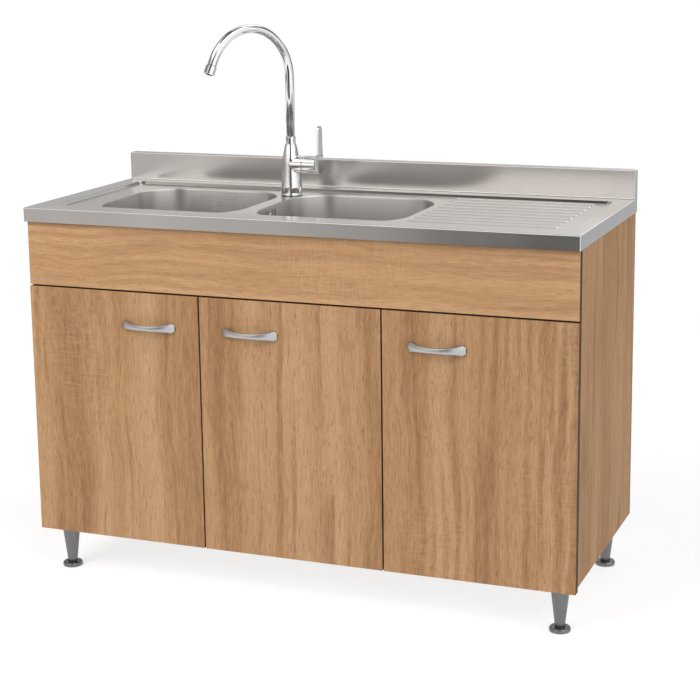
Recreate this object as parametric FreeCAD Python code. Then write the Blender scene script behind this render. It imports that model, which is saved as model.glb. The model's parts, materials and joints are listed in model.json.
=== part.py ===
import FreeCAD, Part
import math
import os

os.makedirs("parts", exist_ok=True)
V = FreeCAD.Vector
X_AXIS = V(1, 0, 0)
Y_AXIS = V(0, 1, 0)
Z_AXIS = V(0, 0, 1)

# All sizes are in millimetres. X runs to the right, Y to the back, Z up from the floor.

# Whole unit
unit_width = 1200.0
unit_depth = 500.0
rim_height = 808.0
fit_clearance = 0.05        # radial, round parts that sit in one another
board_clearance = 1.0       # between loose boards and what holds them

# Sink top, one folded sheet
sheet = 1.0
skirt_height = 30.0
splash_height = 62.0
splash_depth = 25.0
border_front = 55.0
border_back = 37.0
border_left = 44.0
border_right = 36.0
recess_depth = 5.5
recess_slope = 7.0
recess_corner = 16.0

# Drainer ribs
rib_count = 9
rib_pitch = 38.5
rib_width = 15.0
rib_height = 2.0
rib_setback = 16.0          # from the bowl rim to the rib ends
rib_end_margin = 24.0       # from the rib ends to the recess wall
rib_shift = 12.0            # of the rib pattern towards the back, from the recess middle

# Bowls
bowl_width = 326.0
bowl_corner = 88.0
bowl_depth = 150.0
bowl_taper = 9.0
bowl_floor_radius = 28.0
bowl_gap = 38.0
bowl_front_margin = 4.0     # from the foot of the recess wall to the bowl rim
bowl_back_margin = 41.0
bowl_left_margin = 65.0
bowl_flange = 8.0

# Overflow in the left wall of the right bowl
overflow_drop = 18.0
overflow_forward = 29.0     # ahead of the bowl's middle
slot_pitch = 12.5
slot_width = 3.6
slot_height = 20.0
overflow_housing_width = 62.0
overflow_housing_height = 29.0
overflow_housing_depth = 16.0
overflow_wall = 1.6
overflow_spigot_length = 6.5
overflow_pipe_radius = 9.0
overflow_bend = 26.0
overflow_screw_radius = 2.5
overflow_head_radius = 4.5
overflow_head_height = 2.0
overflow_port_drop = 20.0   # from the waste housing's top to the port's middle

# Basket strainer wastes
drain_hole_radius = 44.0
flange_radius = 56.0
flange_height = 1.6
strainer_depth = 36.0
strainer_wall = 1.2
strainer_hole_radius = 6.5
strainer_hole_count = 6
strainer_hole_circle = 22.0
strainer_centre_hole = 2.0  # radius, under the basket's post
waste_seal_height = 2.5
waste_rim_radius = 55.0
waste_body_wall = 3.0
waste_body_depth = 62.0
waste_lift_gap = 1.5        # between the strainer cup and the plastic housing
basket_gap = 0.8            # radial, basket in its cup
basket_wall = 1.0
basket_depth = 26.0
basket_lip = 2.0
basket_floor_radius = 33.5
basket_holes = 12           # in each ring
basket_hole_radius = 2.2
basket_hole_rings = [16.0, 26.0]
basket_knob_radius = 8.0
basket_knob_rise = 3.5
basket_knob_height = 9.0
basket_knob_edge = 1.5
basket_post_radius = 4.0

# Waste pipes and bottle trap
pipe_radius = 20.0
pipe_wall = 2.0
socket_wall = 2.5
socket_length = 26.0
tail_length = 38.0
cross_pipe_drop = 72.0      # from the wastes' socket mouths to the cross pipe's axis
cross_bend = 34.0
nut_radius = 29.0
nut_height = 16.0
nut_flutes = 10
trap_radius = 36.0
trap_height = 140.0
trap_wall = 3.0
trap_cup_height = 48.0
trap_cup_bevel = 11.0
trap_grips = 12
trap_grip_radius = 2.4
dip_gap = 20.0              # from the dip tube's mouth to the trap's floor
outlet_stub = 34.0
outlet_end_gap = 28.0       # from the outlet pipe's end to the wall plane
outlet_entry = 40.0         # the pipe's bare end, which the wall's socket takes
stop_ring_radius = 24.0
stop_ring_width = 3.0

# Mixer tap, heights are above the recessed deck
tap_forward = 28.0          # of the bowls' back edge
tap_seal_height = 1.0
tap_base_radius = 23.5
tap_base_height = 5.0
tap_base_edge = 1.0
tap_foot_radius = 22.8
tap_waist_radius = 19.0
tap_waist_height = 78.0
tap_shoulder_radius = 16.6
tap_shoulder_height = 93.0
tap_neck_radius = 12.0
tap_neck_height = 114.0
tap_arm_height = 69.0
tap_arm_radius = 19.2
tap_arm_reach = 31.0
groove_width = 1.0
sleeve_reach = 61.0
hub_gap = 0.5
hub_reach = 70.0
hub_width = 30.0
lever_thickness = 4.6
lever_foot_width = 26.4
lever_tip_width = 20.0
lever_top = 154.5
lever_gap = 0.35            # between the lever's foot and its seat in the hub
lever_ear_gap = 0.4         # between the lever's foot and the hub's ears
lever_pin_radius = 1.2
lever_pin_bite = 1.2        # of the pin's ends into the hub's ears
stem_radius = 7.0
cartridge_bore = 16.0
shank_radius = 16.0
shank_length = 52.0
shank_hole_radius = 17.5
shank_spigot_radius = 13.0
shank_spigot_height = 4.0
washer_radius = 25.0
washer_height = 2.0
washer_slot = 16.0
washer_gap = 0.2            # radial, round the shank
shank_nut_radius = 24.0
shank_nut_height = 9.0
inlet_radius = 5.0
inlet_depth = 12.0
inlet_spacing = 15.0

# Spout
collar_radius = 11.0
collar_height = 15.5
collar_edge = 0.6
spout_radius = 9.3
spout_wall = 1.5
spout_socket_depth = 18.0
riser_top = 261.0
arch_radius = 107.0
arch_sweep = 155.0
arch_tail = 20.0
spout_turn = 27.5           # to the left of straight ahead
aerator_radius = 11.6
aerator_length = 18.0
aerator_lap = 6.0           # over the spout's end
aerator_bore = 8.0

# Cabinet
board = 18.0
rail_board = 16.0
cabinet_setback = 2.5       # side panel face inside the sink's edge
fold_clearance = 0.5        # between the back boards and the sink's back fold
door_overhang = 8.0         # sink front ahead of the door fronts
door_board = 18.0
door_gap = 2.0              # between the doors and the cabinet front
door_reveal = 3.0
door_drop = 9.0             # door bottoms below the cabinet bottom
cabinet_bottom = 107.0
fascia_height = 165.0
door_count = 3
back_rail_top_height = 100.0
back_rail_bottom_height = 80.0
shelf_height = 372.0
shelf_front_setback = 32.0
shelf_back_gap = 4.0
pin_radius = 2.5
pin_bore_depth = 10.0
pin_reach = 8.0
pin_inset = 40.0

# Concealed hinges
hinge_inset = 90.0          # from the door's top and bottom
cup_radius = 17.5
cup_edge = 22.5             # cup centre from the door's hinge edge
cup_depth = 12.0
cup_wall = 1.0
cup_flange_radius = 19.0
cup_flange_height = 1.0
cup_wing_width = 14.0
cup_wing_reach = 28.0
plate_width = 32.0
plate_height = 46.0
plate_thickness = 2.0
plate_setback = 37.0        # plate centre behind the cabinet front
arm_width = 12.0
arm_depth = 11.0
arm_back = 62.0             # arm's rear end behind the cabinet front
arm_front = 2.0
arm_neck = 8.0
nose_near = 24.0            # nose faces from the door's hinge edge
nose_far = 33.0
nose_width = 10.0
nose_dip = 6.0              # into the cup
plate_screw_spacing = 32.0
plate_screw_radius = 2.0
plate_screw_length = 12.0
screw_head_radius = 3.8
screw_head_height = 1.4

# Door buffers
buffer_radius = 4.0
buffer_inset = 16.0

# Bow handles
handle_length = 126.0
handle_spacing = 96.0
handle_reach = 24.0
handle_thickness = 6.5
handle_foot = 20.0
handle_end_height = 21.0
handle_middle_height = 11.0
handle_drop = 70.0          # below the door's top
handle_edge = 114.0         # centre from the door's opening edge
handle_screw_radius = 2.0
handle_screw_bite = 6.0
handle_head_radius = 4.2
handle_head_height = 2.2

# Legs
leg_inset_x = 46.0
leg_inset_front = 60.0
leg_inset_back = 45.0
leg_plate_radius = 28.0
leg_plate_height = 3.0
leg_top_radius = 21.0
leg_bottom_radius = 10.0
leg_screw_circle = 24.6
leg_screw_angles = [-60, 0, 60]
leg_screw_radius = 1.8
leg_screw_length = 12.0
leg_screw_head = 3.0
leg_screw_head_height = 1.2
foot_radius = 21.5
foot_height = 9.0
foot_edge = 2.5
foot_stud_radius = 4.0
foot_stud_length = 14.0

# Planes and places that follow from the sizes above. The footprint's middle is the origin,
# and the footprint runs from the handles' faces to the sink's back.
handle_overhang = handle_reach - door_overhang
back_y = (unit_depth + handle_overhang) / 2
front_y = back_y - unit_depth
half_width = unit_width / 2
sheet_under = rim_height - sheet
deck_height = rim_height - recess_depth
splash_top = rim_height + splash_height
splash_front_y = back_y - splash_depth
recess_x0 = -half_width + border_left
recess_x1 = half_width - border_right
recess_y0 = front_y + border_front
recess_y1 = splash_front_y - border_back
bowl_y0 = recess_y0 + recess_slope + bowl_front_margin
bowl_y1 = recess_y1 - recess_slope - bowl_back_margin
bowl_mid_y = (bowl_y0 + bowl_y1) / 2
bowl_top = deck_height - sheet
bowl_floor = deck_height - bowl_depth
left_bowl_x = recess_x0 + recess_slope + bowl_left_margin
bowl_lefts = {"left": left_bowl_x, "right": left_bowl_x + bowl_width + bowl_gap}
drain_x = {side: x + bowl_width / 2 for side, x in bowl_lefts.items()}
overflow_x = bowl_lefts["right"]
overflow_y = bowl_mid_y - overflow_forward
overflow_z = deck_height - overflow_drop

cabinet_half = half_width - cabinet_setback
cabinet_inner = cabinet_half - board
door_front_y = front_y + door_overhang
door_back_y = door_front_y + door_board
cabinet_front_y = door_back_y + door_gap
cabinet_back_y = back_y - sheet - fold_clearance
floor_board_top = cabinet_bottom + board
fascia_bottom = sheet_under - fascia_height
door_bottom = cabinet_bottom - door_drop
door_top = fascia_bottom - door_reveal
door_width = (2 * cabinet_half - (door_count - 1) * door_reveal) / door_count
divider_x = cabinet_half - door_width - door_reveal / 2
divider_x0 = divider_x - board / 2
divider_x1 = divider_x + board / 2

door_names = ["left", "middle", "right"]
door_x0 = {}
for index, name in enumerate(door_names):
    door_x0[name] = -cabinet_half + index * (door_width + door_reveal)
# The hinge edge of each door, the way the door lies from it, and the board that carries it
hinge_edge = {
    "left": door_x0["left"],
    "middle": door_x0["middle"] + door_width,
    "right": door_x0["right"] + door_width,
}
hinge_way = {"left": 1, "middle": -1, "right": -1}
hinge_board_face = {"left": -cabinet_inner, "middle": divider_x0, "right": cabinet_inner}
hinge_heights = [door_bottom + hinge_inset, door_top - hinge_inset]

tap_x = bowl_lefts["right"] - bowl_gap / 2
tap_y = bowl_y1 - tap_forward
lever_knuckle_radius = lever_thickness / 2


# Shapes

def block(x0, x1, y0, y1, z0, z1):
    return Part.makeBox(x1 - x0, y1 - y0, z1 - z0, V(x0, y0, z0))


def span_block(xa, xb, y0, y1, z0, z1):
    return block(min(xa, xb), max(xa, xb), y0, y1, z0, z1)


def rod(x, y, z, radius, length, way=Z_AXIS):
    return Part.makeCylinder(radius, length, V(x, y, z), way)


def tube(x, y, z, radius, bore, length, way=Z_AXIS):
    return rod(x, y, z, radius, length, way).cut(rod(x, y, z, bore, length, way))


def turned(points, x, y, z):
    # A profile of (radius, height) points turned about the vertical through x, y
    corners = [V(r, 0, h) for r, h in points]
    wire = Part.makePolygon(corners + [corners[0]])
    solid = Part.Face(wire).revolve(V(0, 0, 0), Z_AXIS, 360)
    solid.translate(V(x, y, z))
    return solid


def outline(x0, x1, y0, y1, radius, z):
    # A rectangle with round corners, as a closed wire
    inset = radius * (1 - math.sqrt(0.5))
    edges = [
        Part.LineSegment(V(x0 + radius, y0, z), V(x1 - radius, y0, z)),
        Part.Arc(V(x1 - radius, y0, z), V(x1 - inset, y0 + inset, z), V(x1, y0 + radius, z)),
        Part.LineSegment(V(x1, y0 + radius, z), V(x1, y1 - radius, z)),
        Part.Arc(V(x1, y1 - radius, z), V(x1 - inset, y1 - inset, z), V(x1 - radius, y1, z)),
        Part.LineSegment(V(x1 - radius, y1, z), V(x0 + radius, y1, z)),
        Part.Arc(V(x0 + radius, y1, z), V(x0 + inset, y1 - inset, z), V(x0, y1 - radius, z)),
        Part.LineSegment(V(x0, y1 - radius, z), V(x0, y0 + radius, z)),
        Part.Arc(V(x0, y0 + radius, z), V(x0 + inset, y0 + inset, z), V(x0 + radius, y0, z)),
    ]
    return Part.Wire([edge.toShape() for edge in edges])


def slab(x0, x1, y0, y1, radius, z0, z1):
    return Part.Face(outline(x0, x1, y0, y1, radius, z0)).extrude(V(0, 0, z1 - z0))


def pocket(x0, x1, y0, y1, radius, z_top, z_bottom, slope):
    # A tray whose walls lean in by the slope from top to bottom
    low_radius = radius - slope / 2
    top = outline(x0, x1, y0, y1, radius, z_top)
    low = outline(x0 + slope, x1 - slope, y0 + slope, y1 - slope, low_radius, z_bottom)
    return Part.makeLoft([low, top], True, True)


def bottom_edges(shape):
    low = shape.BoundBox.ZMin
    return [edge for edge in shape.Edges if abs(edge.BoundBox.ZMax - low) < fit_clearance]


def pipe(points, bend, radius):
    # A round bar along straight runs joined by one tangent bend at each inner point
    edges = []
    start = points[0]
    for before, corner, after in zip(points, points[1:], points[2:]):
        way_in = (corner - before).normalize()
        way_out = (after - corner).normalize()
        turn = way_in.getAngle(way_out)
        reach = bend * math.tan(turn / 2)
        bend_start = corner - way_in * reach
        bend_end = corner + way_out * reach
        inward = (way_out - way_in).normalize()
        centre_distance = bend / math.cos(turn / 2)
        middle = corner + inward * (centre_distance - bend)
        edges.append(Part.LineSegment(start, bend_start).toShape())
        edges.append(Part.Arc(bend_start, middle, bend_end).toShape())
        start = bend_end
    edges.append(Part.LineSegment(start, points[-1]).toShape())
    first_way = points[1] - points[0]
    section = Part.Wire([Part.makeCircle(radius, points[0], first_way)])
    return Part.Wire(edges).makePipeShell([section], True, True)


def hollow_pipe(points, bend, radius, wall):
    return pipe(points, bend, radius).cut(pipe(points, bend, radius - wall))


def group(solids):
    return Part.makeCompound(solids)


def hexagon(x, y, z, radius, height):
    corners = []
    for index in range(6):
        angle = math.radians(60 * index)
        corners.append(V(x + radius * math.cos(angle), y + radius * math.sin(angle), z))
    return Part.Face(Part.makePolygon(corners + [corners[0]])).extrude(V(0, 0, height))


def save(node, shape):
    # Each finished piece becomes one file
    shape.exportStep("parts/" + node + ".step")
    print(node, len(shape.Solids), "solid(s)", round(shape.Volume / 1000, 1), "cm3", shape.isValid())


# Sink top and bowls

def bowl_outline_at(side, grow, z):
    x0 = bowl_lefts[side] - grow
    x1 = bowl_lefts[side] + bowl_width + grow
    return x0, x1, bowl_y0 - grow, bowl_y1 + grow, bowl_corner + grow, z


def sink_top():
    # Border with front and side folds, closed splashback box behind
    outer = block(-half_width, half_width, front_y, back_y, rim_height - skirt_height, rim_height)
    hollow = block(-half_width + sheet, half_width - sheet, front_y + sheet, back_y - sheet,
                   rim_height - skirt_height, sheet_under)
    box = block(-half_width, half_width, splash_front_y, back_y, sheet_under, splash_top)
    box_hollow = block(-half_width + sheet, half_width - sheet, splash_front_y + sheet,
                       back_y - sheet, sheet_under, splash_top - sheet)
    top = outer.cut(hollow).fuse(box).cut(box_hollow)
    # The recessed deck, its wall and the openings in it
    tray = pocket(recess_x0 - sheet, recess_x1 + sheet, recess_y0 - sheet, recess_y1 + sheet,
                  recess_corner + sheet, rim_height, deck_height - sheet, recess_slope)
    cut = pocket(recess_x0, recess_x1, recess_y0, recess_y1,
                 recess_corner, rim_height, deck_height, recess_slope)
    top = top.fuse(tray).cut(cut)
    for side in bowl_lefts:
        x0, x1, y0, y1, radius, z = bowl_outline_at(side, 0, bowl_top)
        top = top.cut(slab(x0, x1, y0, y1, radius, z - sheet, deck_height + sheet))
    top = top.cut(rod(tap_x, tap_y, bowl_top - sheet, shank_hole_radius, 3 * sheet))
    for rib in drainer_ribs():
        top = top.fuse(rib)
    return top.removeSplitter()


def drainer_ribs():
    # Low round-backed ridges, each a slice off a lying rod with ball ends
    ribs = []
    crown = (rib_width ** 2 / 4 + rib_height ** 2) / (2 * rib_height)
    x0 = bowl_lefts["right"] + bowl_width + rib_setback + rib_width / 2
    x1 = recess_x1 - recess_slope - rib_end_margin - rib_width / 2
    middle_y = (recess_y0 + recess_y1) / 2 + rib_shift
    for index in range(rib_count):
        y = middle_y + (index - (rib_count - 1) / 2) * rib_pitch
        z = deck_height + rib_height - crown
        ridge = rod(x0, y, z, crown, x1 - x0, X_AXIS)
        for x in (x0, x1):
            ridge = ridge.fuse(Part.makeSphere(crown, V(x, y, z)))
        keep = block(x0 - rib_width, x1 + rib_width, y - rib_width, y + rib_width,
                     deck_height - sheet / 2, deck_height + 2 * rib_height)
        ribs.append(ridge.common(keep))
    return ribs


def bowl(side):
    x0, x1, y0, y1, radius, z = bowl_outline_at(side, sheet, bowl_top)
    outer = pocket(x0, x1, y0, y1, radius, z, bowl_floor - sheet, bowl_taper)
    outer = outer.makeFillet(bowl_floor_radius + sheet, bottom_edges(outer))
    x0, x1, y0, y1, radius, z = bowl_outline_at(side, 0, bowl_top)
    inner = pocket(x0, x1, y0, y1, radius, z, bowl_floor, bowl_taper)
    inner = inner.makeFillet(bowl_floor_radius, bottom_edges(inner))
    x0, x1, y0, y1, radius, z = bowl_outline_at(side, bowl_flange, bowl_top)
    flange = slab(x0, x1, y0, y1, radius, bowl_top - sheet, bowl_top)
    shell = outer.fuse(flange).cut(inner)
    hole = rod(drain_x[side], bowl_mid_y, bowl_floor - 2 * sheet, drain_hole_radius, 4 * sheet)
    shell = shell.cut(hole)
    if side == "right":
        shell = shell.cut(overflow_slots())
    return shell


def overflow_slots():
    # Two slots each side of the screw, cut through the wall along X
    x0 = overflow_x - 2 * sheet - bowl_taper
    x1 = overflow_x + 2 * sheet + bowl_taper
    cuts = [rod(x0, overflow_y, overflow_z, overflow_screw_radius + fit_clearance, x1 - x0, X_AXIS)]
    for step in (-2, -1, 1, 2):
        y = overflow_y + step * slot_pitch
        z0 = overflow_z - slot_height / 2
        z1 = overflow_z + slot_height / 2
        slot = block(x0, x1, y - slot_width / 2, y + slot_width / 2, z0, z1)
        cuts.append(slot)
    return group(cuts)


# Overflow

def overflow_wall_x(z):
    # Outer face of the bowl's leaning left wall at a height
    return overflow_x - sheet + bowl_taper * (bowl_top - z) / (bowl_top - bowl_floor)


def overflow_housing():
    z0 = overflow_z - overflow_housing_height / 2
    z1 = overflow_z + overflow_housing_height / 2
    x1 = overflow_wall_x(z1)
    x0 = x1 - overflow_housing_depth
    y0 = overflow_y - overflow_housing_width / 2
    y1 = overflow_y + overflow_housing_width / 2
    wall = overflow_wall
    shell = block(x0, x1, y0, y1, z0, z1)
    shell = shell.cut(block(x0 + wall, x1, y0 + wall, y1 - wall, z0 + wall, z1 - wall))
    boss = rod(x0 + wall, overflow_y, overflow_z, overflow_screw_radius + wall, x1 - x0 - wall, X_AXIS)
    bore = overflow_screw_radius + fit_clearance
    boss_bore = rod(x0 + wall, overflow_y, overflow_z, bore, x1 - x0 - wall, X_AXIS)
    spigot_x = (x0 + x1) / 2
    mouth_radius = overflow_pipe_radius - overflow_wall - fit_clearance
    low = z0 - overflow_spigot_length
    spigot = rod(spigot_x, overflow_y, low, mouth_radius, overflow_spigot_length + wall)
    mouth = rod(spigot_x, overflow_y, low, mouth_radius - wall, overflow_spigot_length + wall)
    return shell.fuse(spigot).cut(mouth).fuse(boss).cut(boss_bore)


def overflow_pipe():
    # Down from the housing, then level to the waste housing, its end cut to fit the round wall
    z1 = overflow_z - overflow_housing_height / 2
    x = overflow_wall_x(overflow_z + overflow_housing_height / 2) - overflow_housing_depth / 2
    port_z = overflow_port_z()
    to_drain = V(drain_x["right"] - x, bowl_mid_y - overflow_y, 0).normalize()
    port = V(drain_x["right"], bowl_mid_y, port_z) - to_drain * drain_hole_radius
    corner = V(x, overflow_y, port_z)
    run = hollow_pipe([V(x, overflow_y, z1), corner, port], overflow_bend,
                      overflow_pipe_radius, overflow_wall)
    housing_radius = drain_hole_radius + waste_lift_gap + waste_body_wall + fit_clearance
    return run.cut(rod(drain_x["right"], bowl_mid_y, port_z - 2 * overflow_pipe_radius,
                       housing_radius, 4 * overflow_pipe_radius))


def overflow_port_z():
    return bowl_floor - sheet - waste_seal_height - overflow_port_drop


def overflow_screw():
    # Its dished head lies on the wall inside the bowl
    face_x = overflow_wall_x(overflow_z - overflow_head_radius) + sheet
    head = Part.makeCone(overflow_head_radius, overflow_screw_radius, overflow_head_height,
                         V(face_x, overflow_y, overflow_z), X_AXIS)
    length = overflow_housing_depth - 2 * overflow_wall
    shank = rod(face_x - length, overflow_y, overflow_z, overflow_screw_radius, length, X_AXIS)
    return head.fuse(shank)


# Wastes

def waste_flange(side):
    # Stainless seat ring with the strainer cup below it
    r = drain_hole_radius - fit_clearance
    w = strainer_wall
    profile = [
        (r - w, flange_height), (flange_radius, 0), (r, 0),
        (r, -strainer_depth), (strainer_centre_hole, -strainer_depth),
        (strainer_centre_hole, w - strainer_depth), (r - w, w - strainer_depth),
    ]
    cup = turned(profile, drain_x[side], bowl_mid_y, bowl_floor)
    for index in range(strainer_hole_count):
        angle = 2 * math.pi * index / strainer_hole_count
        x = drain_x[side] + strainer_hole_circle * math.cos(angle)
        y = bowl_mid_y + strainer_hole_circle * math.sin(angle)
        cup = cup.cut(rod(x, y, bowl_floor - strainer_depth, strainer_hole_radius, w))
    return cup


def waste_body(side):
    # Plastic housing under the bowl, narrowing to the tail pipe
    top = bowl_floor - sheet - waste_seal_height
    inner = drain_hole_radius + waste_lift_gap
    outer = inner + waste_body_wall
    tail = pipe_radius
    w = waste_body_wall
    d = waste_body_depth
    profile = [
        (inner, 0), (waste_rim_radius, 0), (waste_rim_radius, -w), (outer, -w),
        (outer, -strainer_depth - w), (tail, -d), (tail, -d - tail_length),
        (tail - pipe_wall, -d - tail_length), (tail - pipe_wall, -d + w / 2),
        (inner, -strainer_depth - w / 2),
    ]
    body = turned(profile, drain_x[side], bowl_mid_y, top)
    if side == "right":
        body = body.cut(overflow_port())
    return body


def overflow_port():
    x = overflow_wall_x(overflow_z + overflow_housing_height / 2) - overflow_housing_depth / 2
    way = V(x - drain_x["right"], overflow_y - bowl_mid_y, 0).normalize()
    start = V(drain_x["right"], bowl_mid_y, overflow_port_z()) + way * flange_radius / 2
    return Part.makeCylinder(overflow_pipe_radius - overflow_wall, flange_radius, start, way)


def waste_seal(side):
    top = bowl_floor - sheet
    return tube(drain_x[side], bowl_mid_y, top - waste_seal_height, waste_rim_radius,
                drain_hole_radius + waste_lift_gap, waste_seal_height)


def basket(side):
    # Perforated lift-out basket with a knob, its post standing in the strainer's middle
    floor_z = strainer_wall - strainer_depth
    r = drain_hole_radius - fit_clearance - strainer_wall - basket_gap
    w = basket_wall
    post = basket_post_radius
    knob = basket_knob_radius
    edge = basket_knob_edge
    profile = [
        (0, floor_z), (post, floor_z), (post, -basket_depth), (basket_floor_radius, -basket_depth),
        (r, -basket_lip), (r, 0), (r - w, 0), (r - w, -basket_lip),
        (basket_floor_radius - w, w - basket_depth), (post, w - basket_depth),
        (post, basket_knob_rise), (knob, basket_knob_rise + edge), (knob, basket_knob_height - edge),
        (knob - edge, basket_knob_height), (0, basket_knob_height),
    ]
    body = turned(profile, drain_x[side], bowl_mid_y, bowl_floor)
    for ring in basket_hole_rings:
        for index in range(basket_holes):
            angle = 2 * math.pi * index / basket_holes
            x = drain_x[side] + ring * math.cos(angle)
            y = bowl_mid_y + ring * math.sin(angle)
            body = body.cut(rod(x, y, bowl_floor - basket_depth, basket_hole_radius, w))
    return body


# Waste pipes and trap

tail_end = bowl_floor - sheet - waste_seal_height - waste_body_depth - tail_length
cross_z = tail_end - cross_pipe_drop + socket_length
socket_radius = pipe_radius + fit_clearance + socket_wall


def socket(x, y, z):
    # A sleeve that takes the end of a pipe from above, z is its mouth
    return tube(x, y, z - socket_length, socket_radius, pipe_radius + fit_clearance, socket_length)


def step_ring(x, y, z):
    # The shoulder between a socket and the pipe below it
    return tube(x, y, z - pipe_wall, socket_radius, pipe_radius - pipe_wall, pipe_wall)


def cross_pipe():
    # Elbow under the left waste and the level run to the tee
    x0 = drain_x["left"]
    mouth = tail_end + socket_length
    run_end = drain_x["right"] - tee_reach()
    points = [V(x0, bowl_mid_y, tail_end), V(x0, bowl_mid_y, cross_z), V(run_end, bowl_mid_y, cross_z)]
    run = hollow_pipe(points, cross_bend, pipe_radius, pipe_wall)
    return run.fuse(socket(x0, bowl_mid_y, mouth)).fuse(step_ring(x0, bowl_mid_y, tail_end))


def tee_reach():
    return socket_radius + pipe_wall


def drain_tee():
    x = drain_x["right"]
    y = bowl_mid_y
    low = cross_z - socket_radius - socket_length
    body = rod(x, y, cross_z - socket_radius, socket_radius, tail_end - cross_z + socket_radius)
    side = rod(x - tee_reach() - socket_length, y, cross_z, socket_radius, tee_reach() + socket_length,
               X_AXIS)
    spigot = rod(x, y, low, pipe_radius, socket_length + pipe_wall)
    bore = rod(x, y, low, pipe_radius - pipe_wall, tail_end - low)
    side_bore = rod(x - tee_reach() - socket_length, y, cross_z, pipe_radius + fit_clearance,
                    socket_length, X_AXIS)
    side_way = rod(x - tee_reach(), y, cross_z, pipe_radius - pipe_wall, tee_reach(), X_AXIS)
    tee = body.fuse(side).fuse(spigot).cut(bore).cut(side_bore).cut(side_way)
    return tee.fuse(socket(x, y, tail_end + socket_length))


trap_top = cross_z - socket_radius
trap_floor = trap_top - trap_height


def trap_body():
    # Bottle head with the inlet socket, the dip tube inside and the outlet stub to the back
    x = drain_x["right"]
    y = bowl_mid_y
    r = trap_radius
    low = trap_floor + trap_cup_height
    head_top = trap_top - socket_length
    shell = tube(x, y, low, r, r - trap_wall, head_top - low)
    roof = tube(x, y, head_top - trap_wall, r, pipe_radius + fit_clearance, trap_wall)
    neck = tube(x, y, head_top - trap_wall, socket_radius, pipe_radius + fit_clearance,
                socket_length + trap_wall)
    dip_top = head_top - trap_wall
    dip_low = trap_floor + trap_wall + dip_gap
    dip = tube(x, y, dip_low, pipe_radius + fit_clearance + pipe_wall, pipe_radius + fit_clearance,
               dip_top - dip_low)
    outlet_z = head_top - trap_wall - pipe_radius - pipe_wall
    stub = rod(x, y + r - trap_wall, outlet_z, socket_radius, outlet_stub, Y_AXIS)
    stub_bore = rod(x, y + r - 2 * trap_wall, outlet_z, pipe_radius - pipe_wall,
                    outlet_stub + 2 * trap_wall, Y_AXIS)
    seat = rod(x, y + r - trap_wall + outlet_stub - socket_length, outlet_z,
               pipe_radius + fit_clearance, socket_length, Y_AXIS)
    clear = rod(x, y, low, r - trap_wall, head_top - trap_wall - low)
    shell = shell.fuse(stub.cut(clear)).cut(stub_bore.cut(rod(x, y, dip_low, r - trap_wall, head_top)))
    return shell.cut(seat).fuse(roof).fuse(neck).fuse(dip)


def trap_cup():
    # Screwed bowl below the head, with grip ribs
    x = drain_x["right"]
    y = bowl_mid_y
    r = trap_radius + fit_clearance
    w = trap_wall
    h = trap_cup_height
    lap = nut_height
    bevel = trap_cup_bevel
    profile = [
        (0, 0), (r - bevel, 0), (r + w, bevel), (r + w, h + lap), (r, h + lap),
        (r, bevel + w), (r - bevel - w / 2, w), (0, w),
    ]
    cup = turned(profile, x, y, trap_floor)
    for index in range(trap_grips):
        angle = 2 * math.pi * index / trap_grips
        gx = x + (r + w) * math.cos(angle)
        gy = y + (r + w) * math.sin(angle)
        grip = rod(gx, gy, trap_floor + h - lap, trap_grip_radius, 2 * lap)
        cup = cup.fuse(grip.cut(rod(x, y, trap_floor, r, h + lap)))
    return cup


def outlet_height():
    return trap_top - socket_length - trap_wall - pipe_radius - pipe_wall


def outlet_pipe():
    # Runs from the trap's stub towards the wall, with a stop ring ahead of its bare end
    start = bowl_mid_y + trap_radius - trap_wall + outlet_stub - socket_length
    end = back_y - outlet_end_gap
    bore = pipe_radius - pipe_wall
    run = tube(drain_x["right"], start, outlet_height(), pipe_radius, bore, end - start, Y_AXIS)
    ring_y = end - outlet_entry - stop_ring_width
    return run.fuse(tube(drain_x["right"], ring_y, outlet_height(), stop_ring_radius, bore,
                         stop_ring_width, Y_AXIS))


def union_nut(x, y, z, way):
    # Fluted nut round a socket's mouth
    nut = tube(x, y, z, nut_radius, socket_radius, nut_height, way)
    across = V(way.y, way.z, way.x)
    up = way.cross(across)
    for index in range(nut_flutes):
        angle = 2 * math.pi * index / nut_flutes
        side = across * math.cos(angle) + up * math.sin(angle)
        spot = V(x, y, z) + side * (nut_radius + socket_wall / 2)
        nut = nut.cut(Part.makeCylinder(socket_wall, nut_height, spot, way))
    return nut


def union_nuts():
    y = bowl_mid_y
    mouth = tail_end + socket_length - nut_height
    right = drain_x["right"]
    stub_end = y + trap_radius - trap_wall + outlet_stub
    return group([
        union_nut(drain_x["left"], y, mouth, Z_AXIS),
        union_nut(right, y, mouth, Z_AXIS),
        union_nut(right - tee_reach() - socket_length, y, cross_z, X_AXIS),
        union_nut(right, stub_end - nut_height, outlet_height(), Y_AXIS),
    ])


# Tap

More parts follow.
